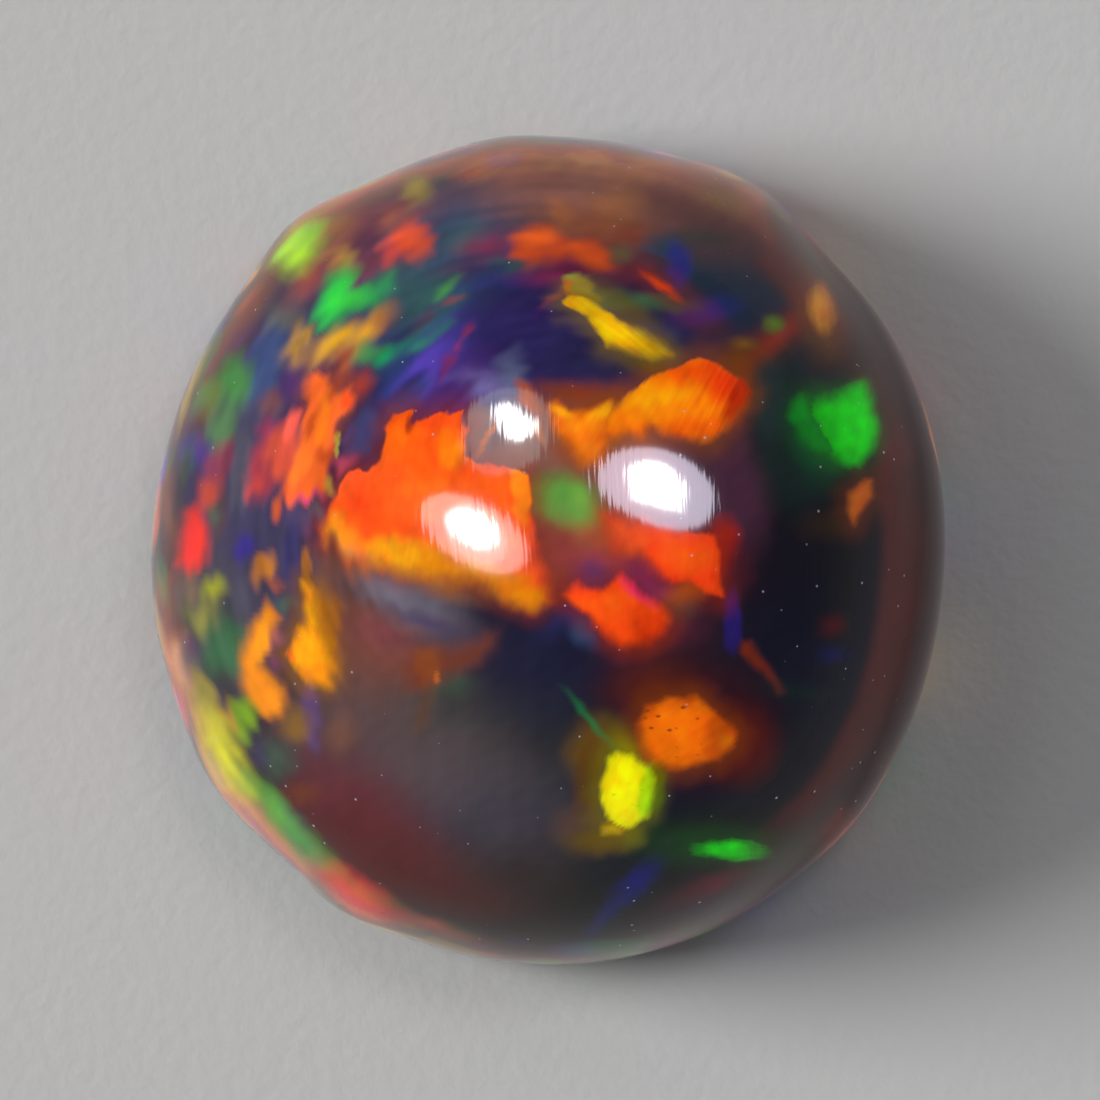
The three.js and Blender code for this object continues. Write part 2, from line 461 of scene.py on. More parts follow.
spot("#5c4470", -2.44, 2.88, 0.1, 0.06, 30, 0.07, 0.6)
spot("#9a6c48", -3.04, 2.42, 0.1, 0.15, 0, 0.1, 0.5)
spot("#c0602c", -2.56, 2.35, 0.12, 0.15, 0, 0.1, 0.9)
spot("#4c8a44", -2.22, 2.49, 0.16, 0.13, 0, 0.1, 0.85)
spot("#169c58", -2.04, 2.41, 0.14, 0.09, 30, 0.06, 0.9)
spot("#1f8a60", -1.79, 2.54, 0.2, 0.05, 27, 0.05, 0.8)
spot("#286a54", -1.49, 2.77, 0.55, 0.09, 45, 0.1, 0.7)
spot("#3c6a58", -1.53, 3.12, 0.35, 0.1, 45, 0.1, 0.6)
spot("#489440", -1.27, 3.27, 0.17, 0.07, 42, 0.06, 0.9)
spot("#9a4438", -1.14, 3.15, 0.12, 0.04, 25, 0.05, 0.8)
spot("#6a3048", -1.53, 2.88, 0.2, 0.06, 45, 0.06, 0.5)
spot("#48705c", -1.08, 3.94, 0.24, 0.17, 20, 0.16, 0.7)
spot("#2c6250", -0.44, 3.54, 0.3, 0.08, 0, 0.08, 0.7)
spot("#98842c", -1.67, 4.58, 0.2, 0.22, 20, 0.13, 0.95)
spot("#2c3a7a", -1.78, 2.2, 0.35, 0.2, 50, 0.16, 0.8)
spot("#4c3c9c", -1.38, 2.4, 0.5, 0.22, 56, 0.18, 0.9)
spot("#6446c4", -1.54, 2.2, 0.3, 0.12, 60, 0.12, 0.75)
spot("#4a4a90", -1.51, 2.08, 0.14, 0.1, 50, 0.08, 0.6)
spot("#4f2c78", -1.07, 2.06, 0.4, 0.28, 50, 0.2, 0.8)
spot("#a03040", -1.01, 2.74, 0.1, 0.045, 55, 0.05, 0.9)
spot("#983048", -1.12, 2.56, 0.06, 0.04, 55, 0.04, 0.8)
spot("#8a2c50", -1.22, 2.41, 0.07, 0.04, 70, 0.04, 0.8)
spot("#2c7a5c", -1.34, 2.75, 0.16, 0.04, 42, 0.05, 0.8)
spot("#2f8a60", -1.58, 2.56, 0.14, 0.05, 38, 0.05, 0.8)
spot("#7a2c60", -1.26, 2.31, 0.08, 0.16, -10, 0.06, 0.6)
spot("#233a5c", -1.84, 1.75, 0.14, 0.5, -35, 0.14, 0.6)

# The far left, under the soft edge of the rim
spot("#3a4f7c", -3.52, 2.38, 0.22, 0.5, -15, 0.18, 0.8)
spot("#4c8a48", -3.93, 2.08, 0.22, 0.3, -10, 0.16, 0.95)
spot("#728c42", -4.31, 1.93, 0.18, 0.24, -20, 0.14, 0.9)
spot("#567c50", -4.06, 1.56, 0.16, 0.3, -8, 0.14, 0.9)
spot("#8c6444", -4.52, 1.88, 0.1, 0.3, -15, 0.1, 0.5)
spot("#4c306c", -3.23, 2.08, 0.18, 0.25, -10, 0.14, 0.9)
spot("#7c4a48", -3.46, 1.85, 0.12, 0.15, 0, 0.1, 0.8)
spot("#54408c", -4.44, 1.23, 0.22, 0.22, -10, 0.14, 0.9)
spot("#4a3464", -4.51, 0.81, 0.16, 0.4, -12, 0.14, 0.8)
spot("#8c3c50", -4.11, 1.1, 0.16, 0.3, -12, 0.12, 0.8)
spot("#5e5c66", -3.84, 1, 0.14, 0.5, -8, 0.12, 0.5)
spot("#6a4a30", -4.12, 0.4, 0.12, 0.3, -8, 0.1, 0.4)
spot("#c84c30", -4.24, 0.72, 0.14, 0.22, -15, 0.12, 0.8)
cloud("#ec3c2c", shard([(-4.54, 0.38), (-4.36, 0.53), (-4.26, 0.28), (-4.24, 0.03), (-4.34, -0.17),
      (-4.52, -0.28), (-4.63, -0.23), (-4.59, 0.06)]), 0.09, 1)
spot("#f84030", -4.43, 0.1, 0.1, 0.22, -15, 0.1, 0.8)
spot("#546a50", -4.17, 0.44, 0.08, 0.12, 0, 0.08, 0.6)
spot("#a4a430", -4.18, -0.5, 0.14, 0.15, -20, 0.11, 0.95)
spot("#918c46", -4.29, -0.85, 0.18, 0.19, -14, 0.13, 0.9)
spot("#8a6c54", -4.52, -0.5, 0.14, 0.3, -10, 0.13, 0.6)
spot("#406a4a", -4.03, -1.23, 0.3, 0.35, 10, 0.18, 0.95)
spot("#5e4c6c", -4.47, -1.31, 0.14, 0.25, 10, 0.13, 0.7)
spot("#3c2f8c", -3.81, 0.03, 0.11, 0.18, -5, 0.1, 0.85)
spot("#4c4a5a", -3.88, -0.62, 0.12, 0.3, -5, 0.12, 0.7)
spot("#b8702c", -3.56, -0.23, 0.13, 0.24, -20, 0.1, 0.95)
spot("#9c5034", -3.43, -0.41, 0.1, 0.08, 0, 0.07, 0.85)
spot("#b49c40", -4.27, -1.88, 0.14, 0.35, 20, 0.13, 0.75)

# The orange column at the left and the teardrop below it
spot("#7a3c38", -2.72, 1.98, 0.45, 0.4, 60, 0.2, 0.85)
spot("#93402e", -2.63, 2.1, 0.2, 0.14, 40, 0.1, 0.8)
spot("#a83c28", -2.31, 2.05, 0.2, 0.13, 60, 0.08, 0.8)
spot("#943456", -3.49, 1.5, 0.12, 0.16, 0, 0.1, 0.85)
spot("#a83c48", -3.53, 1.02, 0.2, 0.4, -14, 0.14, 0.9)
spot("#c8443c", -3.67, 0.82, 0.13, 0.11, 0, 0.08, 0.9)
spot("#d8543c", -3.29, 1.19, 0.22, 0.35, -10, 0.12, 0.95)
spot("#d05a30", -3.38, 0.5, 0.07, 0.15, -20, 0.07, 0.9)
cloud("#f4682a", shard([(-3.04, 2.15), (-2.94, 2.27), (-2.82, 2.2), (-2.72, 1.98), (-2.58, 1.93),
      (-2.44, 2.04), (-2.38, 1.89), (-2.47, 1.71), (-2.58, 1.57), (-2.61, 1.38), (-2.68, 1.15),
      (-2.71, 0.95), (-2.67, 0.78), (-2.82, 0.65), (-3.02, 0.59), (-3.22, 0.54), (-3.31, 0.68),
      (-3.21, 1), (-3.12, 1.25), (-3.07, 1.5), (-3.03, 1.88)]), 0.06, 1)
spot("#ff7c1c", -2.79, 1.61, 0.1, 0.35, -5, 0.1, 0.9)
spot("#ff7a2c", -3.08, 1.05, 0.12, 0.3, -18, 0.1, 0.9)
spot("#ff6434", -3.14, 0.72, 0.14, 0.14, 0, 0.1, 0.8)
spot("#b8431c", -2.77, 1.14, 0.12, 0.12, 0, 0.08, 0.8)
spot("#c24a20", -2.98, 1.5, 0.04, 0.2, -8, 0.05, 0.6)
spot("#a04024", -2.69, 1.96, 0.08, 0.16, -20, 0.08, 0.6)
spot("#ff5020", -2.46, 1.88, 0.08, 0.12, 0, 0.05, 0.9)
spot("#ff6250", -3.21, 1.55, 0.1, 0.2, -12, 0.08, 0.95)
spot("#5e3c5c", -2.42, 1.35, 0.13, 0.24, 0, 0.1, 0.8)
spot("#6c3838", -2.54, 1.57, 0.07, 0.16, -25, 0.05, 0.8)
spot("#a89838", -2.62, 1.32, 0.04, 0.16, 0, 0.04, 0.85)
spot("#b44460", -2.51, 1.09, 0.12, 0.12, 0, 0.06, 0.85)
spot("#b0983c", -2.68, 0.81, 0.07, 0.09, 20, 0.05, 0.9)
spot("#e23c80", -2.96, 0.65, 0.18, 0.05, 8, 0.04, 0.9)
spot("#55476c", -3.12, 0.38, 0.18, 0.2, 0, 0.1, 0.8)
spot("#4c5c6c", -2.87, 0.47, 0.1, 0.14, 0, 0.08, 0.7)
spot("#3c3868", -3.19, -0.12, 0.12, 0.45, 0, 0.12, 0.8)
spot("#a8620c", -2.79, -0.94, 0.22, 0.6, -4, 0.18, 0.85)
spot("#b46a1c", -3.01, -0.28, 0.06, 0.35, -4, 0.08, 0.8)
spot("#8c4c6c", -3.39, -1.12, 0.1, 0.15, -10, 0.08, 0.9)
spot("#6c3c60", -3.36, -1.43, 0.1, 0.14, 15, 0.08, 0.85)
spot("#4c7058", -3.33, -0.65, 0.12, 0.08, 0, 0.08, 0.6)
cloud("#f28c10", shard([(-3.64, -0.8), (-3.51, -0.7), (-3.39, -0.82), (-3.41, -1.12),
      (-3.52, -1.31), (-3.57, -1.43), (-3.44, -1.62), (-3.29, -1.75), (-3.26, -1.95), (-3.36, -2.1),
      (-3.51, -2.12), (-3.67, -1.95), (-3.78, -1.77), (-3.84, -1.52), (-3.79, -1.23), (-3.72, -1)]),
      0.09, 1)
spot("#ffa014", -3.56, -1.12, 0.1, 0.25, -6, 0.1, 0.8)
spot("#ff9410", -3.49, -1.88, 0.16, 0.16, 0, 0.1, 0.7)
spot("#5c4470", -2.96, -2.06, 0.12, 0.5, 5, 0.14, 0.85)
spot("#8a6430", -3.13, -2.19, 0.18, 0.2, 20, 0.12, 0.85)
spot("#785040", -2.59, -2.31, 0.16, 0.25, -15, 0.16, 0.7)
spot("#445a4c", -3.41, -2.62, 0.22, 0.25, 0, 0.16, 0.8)
spot("#45405c", -3.62, -2.52, 0.12, 0.18, 0, 0.12, 0.7)
spot("#b08a34", -3.99, -2.08, 0.14, 0.14, 0, 0.1, 0.8)
spot("#7aa024", -3.77, -2.1, 0.16, 0.22, -15, 0.12, 0.95)
spot("#dcc060", -4.19, -2.52, 0.5, 0.2, 118, 0.14, 0.8)
spot("#ecea2c", -4.04, -2.52, 0.4, 0.15, 116, 0.13)
spot("#b0c048", -3.77, -2.95, 0.2, 0.12, 130, 0.1, 0.8)
spot("#54a044", -3.13, -3.55, 0.75, 0.15, 132, 0.12, 0.97)
spot("#70b054", -3.36, -3.27, 0.3, 0.12, 130, 0.1, 0.8)
spot("#e45a4c", -2.39, -4.29, 0.5, 0.17, 146, 0.13, 0.97)
spot("#f07468", -2.47, -4.38, 0.35, 0.1, 144, 0.1, 0.8)
spot("#744028", -3.08, -3.04, 0.2, 0.12, 0, 0.1, 0.8)
spot("#b06060", -1.53, -4.69, 0.5, 0.08, 163, 0.08, 0.7)

# Along the top
spot("#36445e", -1.19, 4.05, 0.36, 0.3, 0, 0.22, 0.6)
spot("#a0603c", 0.16, 4.24, 0.14, 0.2, 20, 0.13, 0.8)
spot("#98603c", 0.88, 4.31, 0.25, 0.26, 60, 0.18, 0.75)
spot("#8c4a26", 0.53, 4.06, 0.6, 0.2, -4, 0.2, 0.75)
spot("#7c3424", 1.01, 3.98, 0.16, 0.12, 0, 0.1, 0.7)
spot("#7c2c48", -0.72, 3.8, 0.32, 0.16, 6, 0.14, 0.9)
spot("#5c2c50", -1.06, 3.5, 0.3, 0.1, 10, 0.1, 0.6)
spot("#70203c", 0.11, 3.44, 0.45, 0.16, 0, 0.12, 0.85)
spot("#5a2c3c", 0.76, 3.44, 0.25, 0.16, 0, 0.12, 0.7)
cloud("#b8441c", shard([(-0.41, 3.85), (-0.28, 4.04), (-0.03, 4.08), (0.11, 3.98), (0.31, 3.86),
      (0.58, 3.89), (0.81, 3.75), (0.73, 3.6), (0.53, 3.52), (0.23, 3.6), (0.03, 3.58),
      (-0.26, 3.55), (-0.39, 3.67)]), 0.09, 0.97)
spot("#f46410", -0.09, 3.92, 0.22, 0.1, 0, 0.09, 0.95)
spot("#d05008", 0.53, 3.7, 0.26, 0.13, -20, 0.09, 0.9)
spot("#3c6040", 0.91, 3.74, 0.14, 0.1, 0, 0.08, 0.8)
spot("#2a2d70", -0.53, 3.38, 0.4, 0.12, 0, 0.12, 0.5)
spot("#1c4058", 1.46, 3.77, 0.2, 0.15, 0, 0.14, 0.8)
spot("#22287c", 1.62, 3.55, 0.14, 0.28, 4, 0.12, 0.85)
spot("#262680", 1.93, 2.98, 0.32, 0.13, 8, 0.12, 0.9)
spot("#1e2668", 1.43, 2.74, 0.3, 0.08, -6, 0.09, 0.7)
spot("#34724a", 1.06, 3.11, 0.55, 0.1, -5, 0.08, 0.9)
spot("#1c4a3c", 1.56, 3.09, 0.2, 0.1, 0, 0.1, 0.7)
spot("#98342a", 1.28, 3.42, 0.16, 0.08, -35, 0.07, 0.8)
spot("#7c6428", 2.21, 4.47, 0.35, 0.17, -30, 0.16, 0.85)
spot("#143c38", 1.91, 3.9, 0.3, 0.1, 0, 0.1, 0.5)
spot("#6c3c18", 2.84, 4.1, 0.2, 0.22, 30, 0.14, 0.8)
spot("#54401c", 1.28, 2.27, 0.35, 0.13, -25, 0.12, 0.85)
spot("#5c4a20", 0.93, 3.12, 0.5, 0.12, -38, 0.08, 0.7)
cloud("#94802c", shard([(0.23, 3.1), (0.24, 3.33), (0.34, 3.44), (0.54, 3.41), (0.68, 3.24),
      (0.66, 3.05)]), 0.05, 0.9)
spot("#c85c20", 0.29, 3.23, 0.06, 0.14, -10, 0.05, 0.85)
spot("#7c9a30", 0.37, 3.41, 0.07, 0.04, 0, 0.04, 0.8)
spot("#a84440", 0.07, 3.12, 0.16, 0.04, 30, 0.04, 0.9)
spot("#3c2060", -0.03, 2.98, 0.2, 0.08, 20, 0.08, 0.6)

# Round the middle
spot("#84483c", 0.53, 0.88, 1.1, 1, 0, 0.35, 0.95)
spot("#7c564c", 0.16, 1.19, 0.5, 0.35, 0, 0.3, 0.85)
spot("#8c6058", -0.41, 1.19, 0.5, 0.2, 0, 0.16, 0.85)
spot("#84605e", -0.87, 1.5, 0.18, 0.36, 0, 0.12, 0.95)
# Painted highlight: a soft bluish glow round the white reflection of the top lamp
spot("#6c7494", -0.46, 2.12, 0.17, 0.3, 0, 0.22, 0.6)
spot("#786ca6", -0.77, 2.05, 0.3, 0.16, -20, 0.13, 0.8)
spot("#3c4474", -2.26, 1.48, 0.16, 0.32, -18, 0.12, 0.75)
spot("#b85020", -0.23, 1.9, 0.12, 0.26, 35, 0.1, 0.85)
spot("#5c3040", -0.47, 1.73, 0.14, 0.2, 0, 0.12, 0.7)
spot("#c86a38", -0.79, 1.38, 0.05, 0.26, -28, 0.05, 0.8)
spot("#c86a38", -0.09, 1.48, 0.05, 0.2, 20, 0.05, 0.7)
spot("#5e9a40", 0.23, 0.59, 0.4, 0.3, -20, 0.16)
spot("#7cbc40", 0.43, 0.51, 0.13, 0.24, 14, 0.12, 0.7)
spot("#8a8040", 0.44, 0.19, 0.12, 0.12, 0, 0.12, 0.5)
spot("#48602c", 0.01, 0.9, 0.12, 0.06, 0, 0.07, 0.5)
spot("#8c3c34", 0.18, -0.12, 0.4, 0.55, 20, 0.3, 0.9)
spot("#c05838", 0.81, 0.19, 0.4, 0.22, -20, 0.2, 0.95)
spot("#a8404c", 0.76, -0.15, 0.4, 0.14, -10, 0.14, 0.8)
spot("#5c3468", 0.53, -0.3, 0.2, 0.16, 0, 0.12, 0.85)
spot("#7c2c60", 1.23, -0.33, 0.26, 0.18, -30, 0.12, 0.9)
spot("#84306c", 1.46, -0.53, 0.14, 0.1, 0, 0.08, 0.85)
spot("#6c4c34", 1.69, -0.68, 0.22, 0.16, 30, 0.12, 0.85)
spot("#c45a1c", 1.78, -0.47, 0.28, 0.16, 20, 0.12, 0.85)
spot("#a8241c", 2.18, 0, 0.2, 0.38, -10, 0.14, 0.9)
spot("#4a1c28", 2.41, -0.19, 0.2, 0.3, 0, 0.16, 0.7)
spot("#8c3020", 1.16, -1.12, 0.4, 0.24, 20, 0.2, 0.85)
spot("#5c2430", 1.78, -0.94, 0.3, 0.3, 0, 0.2, 0.5)
spot("#84361f", 0.38, 1.99, 0.5, 0.12, -4, 0.09, 0.95)
spot("#a84c14", 0.53, 1.73, 0.35, 0.2, 0, 0.2, 0.5)
spot("#a05038", 0.26, 1.25, 0.2, 0.2, -30, 0.16, 0.7)
spot("#a85c48", 1.01, 1.41, 0.4, 0.14, -10, 0.12, 0.9)
spot("#5c3430", 2.03, 1.31, 0.4, 0.17, 10, 0.16, 0.75)
spot("#a8401c", 2.34, 1.88, 0.2, 0.3, -15, 0.12, 0.85)
spot("#62a44a", 0.37, 0.46, 0.28, 0.17, -12, 0.12, 0.75)

# The lower left of the middle, under the great sheet
spot("#8a5a40", -2.47, -0.31, 0.4, 0.3, -20, 0.25, 0.9)
spot("#7c463c", -1.84, -1.19, 0.7, 0.35, -20, 0.25, 0.9)
spot("#7a4048", -2.03, -1.02, 0.3, 0.22, -20, 0.18, 0.7)
spot("#4a343c", -2.44, -0.47, 0.28, 0.15, -20, 0.14, 0.85)
cloud("#7c3a26", shard([(-1.59, -1.25), (-1.22, -1.31), (-0.82, -1.07), (-0.62, -1.02),
      (-0.67, -1.2), (-0.87, -1.43), (-1.19, -1.52), (-1.47, -1.75), (-1.72, -1.75),
      (-1.78, -1.44)]), 0.13, 0.9)
spot("#8f4a24", -1.49, -1.43, 0.16, 0.25, 10, 0.12, 0.8)
spot("#d0681c", -1.38, -1.61, 0.04, 0.1, -15, 0.04, 0.9)
spot("#2c5444", -1.13, -1.68, 0.26, 0.12, 20, 0.12, 0.7)
spot("#3c3044", -1.22, -1.05, 0.5, 0.1, 10, 0.1, 0.8)
spot("#2a2334", -0.69, -0.78, 0.4, 0.2, -10, 0.14, 0.9)
spot("#5c4244", -2.66, -0.3, 0.22, 0.26, 20, 0.16, 0.6)
spot("#64606e", -1.66, -0.65, 0.6, 0.28, -28, 0.2, 0.97)
spot("#766c7c", -1.99, -0.53, 0.3, 0.14, -35, 0.12, 0.85)
spot("#6a5e50", -1.66, -0.35, 0.3, 0.08, -20, 0.08, 0.7)
spot("#a4703c", -1.37, -0.41, 0.4, 0.12, -22, 0.12, 0.75)
spot("#463a60", -1.49, -0.9, 0.35, 0.08, -20, 0.08, 0.8)
spot("#96684c", -2.32, -0.15, 0.2, 0.12, -30, 0.1, 0.8)
spot("#26323c", -0.16, -2.06, 0.8, 0.5, -30, 0.6, 0.5)
cloud("#22223c", shard([(0.06, -0.47), (-0.22, -0.7), (-0.44, -0.9), (-0.63, -1.12), (-0.74, -1.27),
      (-0.87, -1.4), (-1.02, -1.5), (-0.59, -1.88), (-0.09, -2.12), (0.53, -1.88), (0.97, -1.5),
      (0.66, -1.12), (0.34, -0.78)]), fading(-50, (-0.47, -1.38), 0.07, 0.45), 0.8)
spot("#34507a", 0.43, -1.05, 0.14, 0.22, 35, 0.12, 0.55)
spot("#2f2c60", 0.18, -0.88, 0.3, 0.1, 40, 0.1, 0.6)
spot("#6c4420", -1.54, -2.02, 0.1, 0.3, -18, 0.16, 0.35)

# The right side
spot("#6c2c1c", 2.84, 2.62, 0.65, 0.22, 38, 0.18, 0.95)
spot("#6a3c14", 2.43, 2.42, 0.3, 0.2, 10, 0.14, 0.85)
spot("#9c300c", 2.82, 2.59, 0.3, 0.1, 45, 0.1, 0.85)
spot("#7c3a1c", 2.66, 2.29, 0.2, 0.1, 10, 0.1, 0.85)
spot("#5c7c14", 2.83, 2.85, 0.11, 0.1, 0, 0.07, 0.9)
spot("#7c5a10", 2.46, 2.59, 0.13, 0.07, 0, 0.07, 0.8)
spot("#1f2f2c", 3.03, 1.5, 0.5, 1, 5, 0.3, 0.9)
spot("#2c3a3c", 2.78, 1.88, 0.2, 0.5, 0, 0.18, 0.6)
spot("#163f2c", 3.38, 1.12, 0.25, 0.4, 15, 0.2, 0.8)
spot("#1f6a2c", 3.59, 1.56, 0.6, 0.55, 0, 0.14, 0.4)
spot("#2c2c34", 3.66, 2.38, 0.3, 0.25, 0, 0.2, 0.6)
spot("#3a2a1c", 3.53, 0.3, 0.3, 0.16, 0, 0.14, 0.8)
spot("#4a3418", 3.56, 2.56, 0.25, 0.16, 0, 0.12, 0.6)
spot("#2c1f70", 2.32, -0.9, 0.12, 0.38, 0, 0.12, 0.85)
spot("#4e1622", 3.56, -0.94, 0.17, 0.14, 10, 0.09, 0.85)
spot("#1f1a54", 3.56, -1.31, 0.16, 0.1, 0, 0.09, 0.8)
cloud("#7c2c18", shard([(2.43, -1.12), (2.57, -1.12), (2.67, -1.32), (2.79, -1.48), (2.96, -1.76),
      (2.87, -1.81), (2.71, -1.59), (2.53, -1.45), (2.41, -1.32)]), 0.06, 0.9)
spot("#14302f", 3.16, -1.77, 0.5, 0.12, -6, 0.12, 0.7)

# Below the middle
spot("#3f1820", 1.78, -2.06, 1.05, 0.7, -20, 0.35, 0.9)
spot("#5c2418", 1.34, -1.73, 0.5, 0.3, 10, 0.2, 0.85)
spot("#5a1c18", 2.38, -2.44, 0.45, 0.45, 0, 0.2, 0.85)
spot("#6c4c14", 0.56, -2.5, 0.3, 0.35, -20, 0.18, 0.85)
spot("#6c5a14", 0.88, -2.31, 0.25, 0.16, -45, 0.12, 0.85)
spot("#8c8c10", 1.01, -2.48, 0.16, 0.1, -45, 0.08, 0.85)
spot("#148044", 0.56, -2.14, 0.38, 0.04, -48, 0.04, 0.95)
spot("#5c3a18", 0.52, -2.95, 0.17, 0.5, -6, 0.2, 0.85)
spot("#5c4438", 0.37, -3.45, 0.28, 0.22, 0, 0.16, 0.8)
spot("#4c6a08", 1.31, -2.95, 0.14, 0.35, -10, 0.1, 0.9)
spot("#6c5410", 0.71, -3.65, 0.4, 0.16, 5, 0.1, 0.9)
spot("#7c7410", 1.06, -3.58, 0.16, 0.16, 30, 0.1, 0.8)
spot("#103018", 2.03, -3.52, 0.75, 0.22, 0, 0.2, 0.85)
spot("#232478", 1.12, -4.17, 0.3, 0.12, 44, 0.1, 0.9)
spot("#232c62", 0.74, -4.56, 0.36, 0.11, 50, 0.1, 0.85)
spot("#302c62", 0.53, -4.83, 0.18, 0.1, 40, 0.09, 0.7)
spot("#6a1226", 2.11, -4.2, 0.4, 0.11, 18, 0.1, 0.9)
spot("#501c38", 1.78, -4.4, 0.5, 0.16, 16, 0.14, 0.8)
spot("#8c3418", 3.58, -3.5, 0.3, 0.14, 48, 0.1, 0.85)

# Bright sheets near the surface, each with its own colour and streaks
sheet("#ff5e1a", shard([(-2.02, 1.43), (-2.02, 1.52), (-1.89, 1.73), (-1.79, 1.76), (-1.67, 1.75),
      (-1.74, 1.55), (-1.59, 1.65), (-1.34, 1.73), (-1.07, 1.76), (-1.04, 1.5), (-1.04, 1.18),
      (-0.87, 1.1), (-0.69, 1.07), (-0.44, 1.02), (-0.22, 0.94), (-0.19, 0.75), (-0.21, 0.56),
      (-0.17, 0.12), (-0.08, -0.25), (0.01, -0.6), (-0.17, -0.76), (-0.53, -0.62), (-0.87, -0.42),
      (-1.34, -0.35), (-1.79, -0.29), (-2.22, -0.15), (-2.54, -0.09), (-2.77, 0.15), (-2.84, 0.25),
      (-2.72, 0.5), (-2.59, 0.75), (-2.47, 0.93), (-2.34, 1), (-2.24, 1), (-2.14, 1.12),
      (-2.04, 1.3)]), fading(-95, (-1.34, 0.23), 0.026, 0.16), 78, 0.05)
sheet("#f07a18", shard([(0.01, 1.82), (0.12, 1.89), (0.31, 1.77), (0.53, 1.76), (0.82, 1.88),
      (0.78, 1.57), (0.76, 1.3), (0.63, 1.07), (0.44, 1.04), (0.31, 1.23), (0.16, 1.41),
      (0.02, 1.62)]), fading(-90, (0.41, 1.5), 0.055, 0.14), 60, 0.1)
sheet("#ff8008", shard([(0.73, 1.71), (1.06, 1.96), (1.36, 2.17), (1.66, 2.3), (1.91, 2.42),
      (2.01, 2.38), (2.21, 2.27), (2.48, 2.12), (2.56, 1.98), (2.39, 1.77), (2.24, 1.55),
      (2.06, 1.4), (1.78, 1.38), (1.48, 1.45), (1.31, 1.57), (1.17, 1.43), (0.98, 1.51),
      (0.81, 1.41), (0.68, 1.5)]), fading(-80, (1.41, 1.85), 0.022, 0.1), 62,
      fading(-10, (1.91, 1.88), 0.04, 0.4))
sheet("#ff4c1c", shard([(0.71, 0.42), (1.41, 0.28), (2.07, 0.19), (2.13, -0.12), (2.21, -0.6),
      (1.98, -0.53), (1.78, -0.38), (1.56, -0.38), (1.34, -0.23), (1.16, -0.04), (0.86, 0.03)]),
      fading(180, (1.34, 0.12), 0.04, 0.18), 80, 0.06)
sheet("#ff5018", shard([(0.21, -0.53), (0.36, -0.4), (0.54, -0.49), (0.73, -0.49), (0.93, -0.3),
      (1.11, -0.45), (1.28, -0.59), (1.46, -0.7), (1.53, -0.85), (1.41, -1), (1.16, -1.15),
      (0.91, -1.2), (0.72, -1.06), (0.53, -0.88), (0.33, -0.71)]), fading(-60, (0.97, -0.9), 0.07,
      0.13), 85, 0.05)
sheet("#e8b800", shard([(0.18, 3.08), (0.26, 3.14), (0.43, 3.12), (0.67, 3.05), (0.86, 2.9),
      (1.16, 2.69), (1.46, 2.54), (1.53, 2.44), (1.31, 2.41), (0.98, 2.49), (0.73, 2.56),
      (0.62, 2.75), (0.47, 2.92), (0.28, 2.99)]), fading(-25, (0.97, 2.69), 0.036, 0.11), -38, 0.14)
sheet("#ffa600", shard([(-3.07, -0.47), (-2.94, -0.53), (-2.93, -0.78), (-2.83, -1.02),
      (-2.71, -1.25), (-2.67, -1.5), (-2.73, -1.68), (-2.94, -1.65), (-3.12, -1.49), (-3.24, -1.29),
      (-3.18, -1.1), (-3.06, -0.9), (-3.04, -0.65)]), fading(0, (-2.87, -1.12), 0.06, 0.2), 80,
      0.05)
sheet("#ffff00", shard([(0.72, -2.77), (0.79, -2.6), (0.89, -2.5), (1.06, -2.56), (1.23, -2.69),
      (1.32, -2.86), (1.27, -3.08), (1.22, -3.3), (1.06, -3.46), (0.86, -3.45), (0.71, -3.3),
      (0.66, -3.09)]), fading(10, (1.16, -2.94), 0.045, 0.09), 70, 0.05, 0.3)
sheet("#c09c10", shard([(0.66, -3.42), (0.83, -3.38), (0.98, -3.48), (0.88, -3.58), (0.68, -3.54)]),
      0.05, 0, 0.15)
sheet("#ff780c", shard([(1.11, -2.15), (1.22, -1.98), (1.43, -1.9), (1.66, -1.88), (1.86, -1.84),
      (2.03, -1.98), (2.23, -2.15), (2.36, -2.33), (2.31, -2.5), (2.11, -2.62), (1.91, -2.65),
      (1.71, -2.73), (1.51, -2.73), (1.28, -2.62), (1.16, -2.44)]), fading(200, (1.53, -2.31), 0.06,
      0.1), 30, 0.05)
sheet("#00c81c", shard([(3.31, 1.82), (3.46, 1.9), (3.63, 1.93), (3.78, 2.05), (3.93, 2.12),
      (4.01, 1.98), (4.06, 1.73), (4.12, 1.48), (4.02, 1.25), (3.86, 1.06), (3.66, 1.09),
      (3.48, 1.24), (3.37, 1.48), (3.28, 1.69)]), 0.1, 80, 0.03, 0.2)
sheet("#0a9030", shard([(3.02, 1.68), (3.14, 1.93), (3.31, 1.85), (3.42, 1.5), (3.61, 1.21),
      (3.41, 1.19), (3.17, 1.34)]), 0.08, 80, 0.04, 0.2)
sheet("#24e800", lens((2.31, -3.75), 0.42, 0.11, -2), 0.05, 0, 0.04, 0.2)
sheet("#d08c14", lens((3.43, 3.01), 0.29, 0.13, 97), 0.08, 90, 0.04)
sheet("#c4640c", shard([(3.77, 0.7), (3.91, 0.85), (4.08, 0.9), (4.08, 0.72), (3.96, 0.53),
      (3.82, 0.33), (3.76, 0.47)]), 0.06, 65, 0.06)
sheet("#dc4618", lens((1.41, 3.3), 0.24, 0.06, -38), 0.045, -35, 0.15)

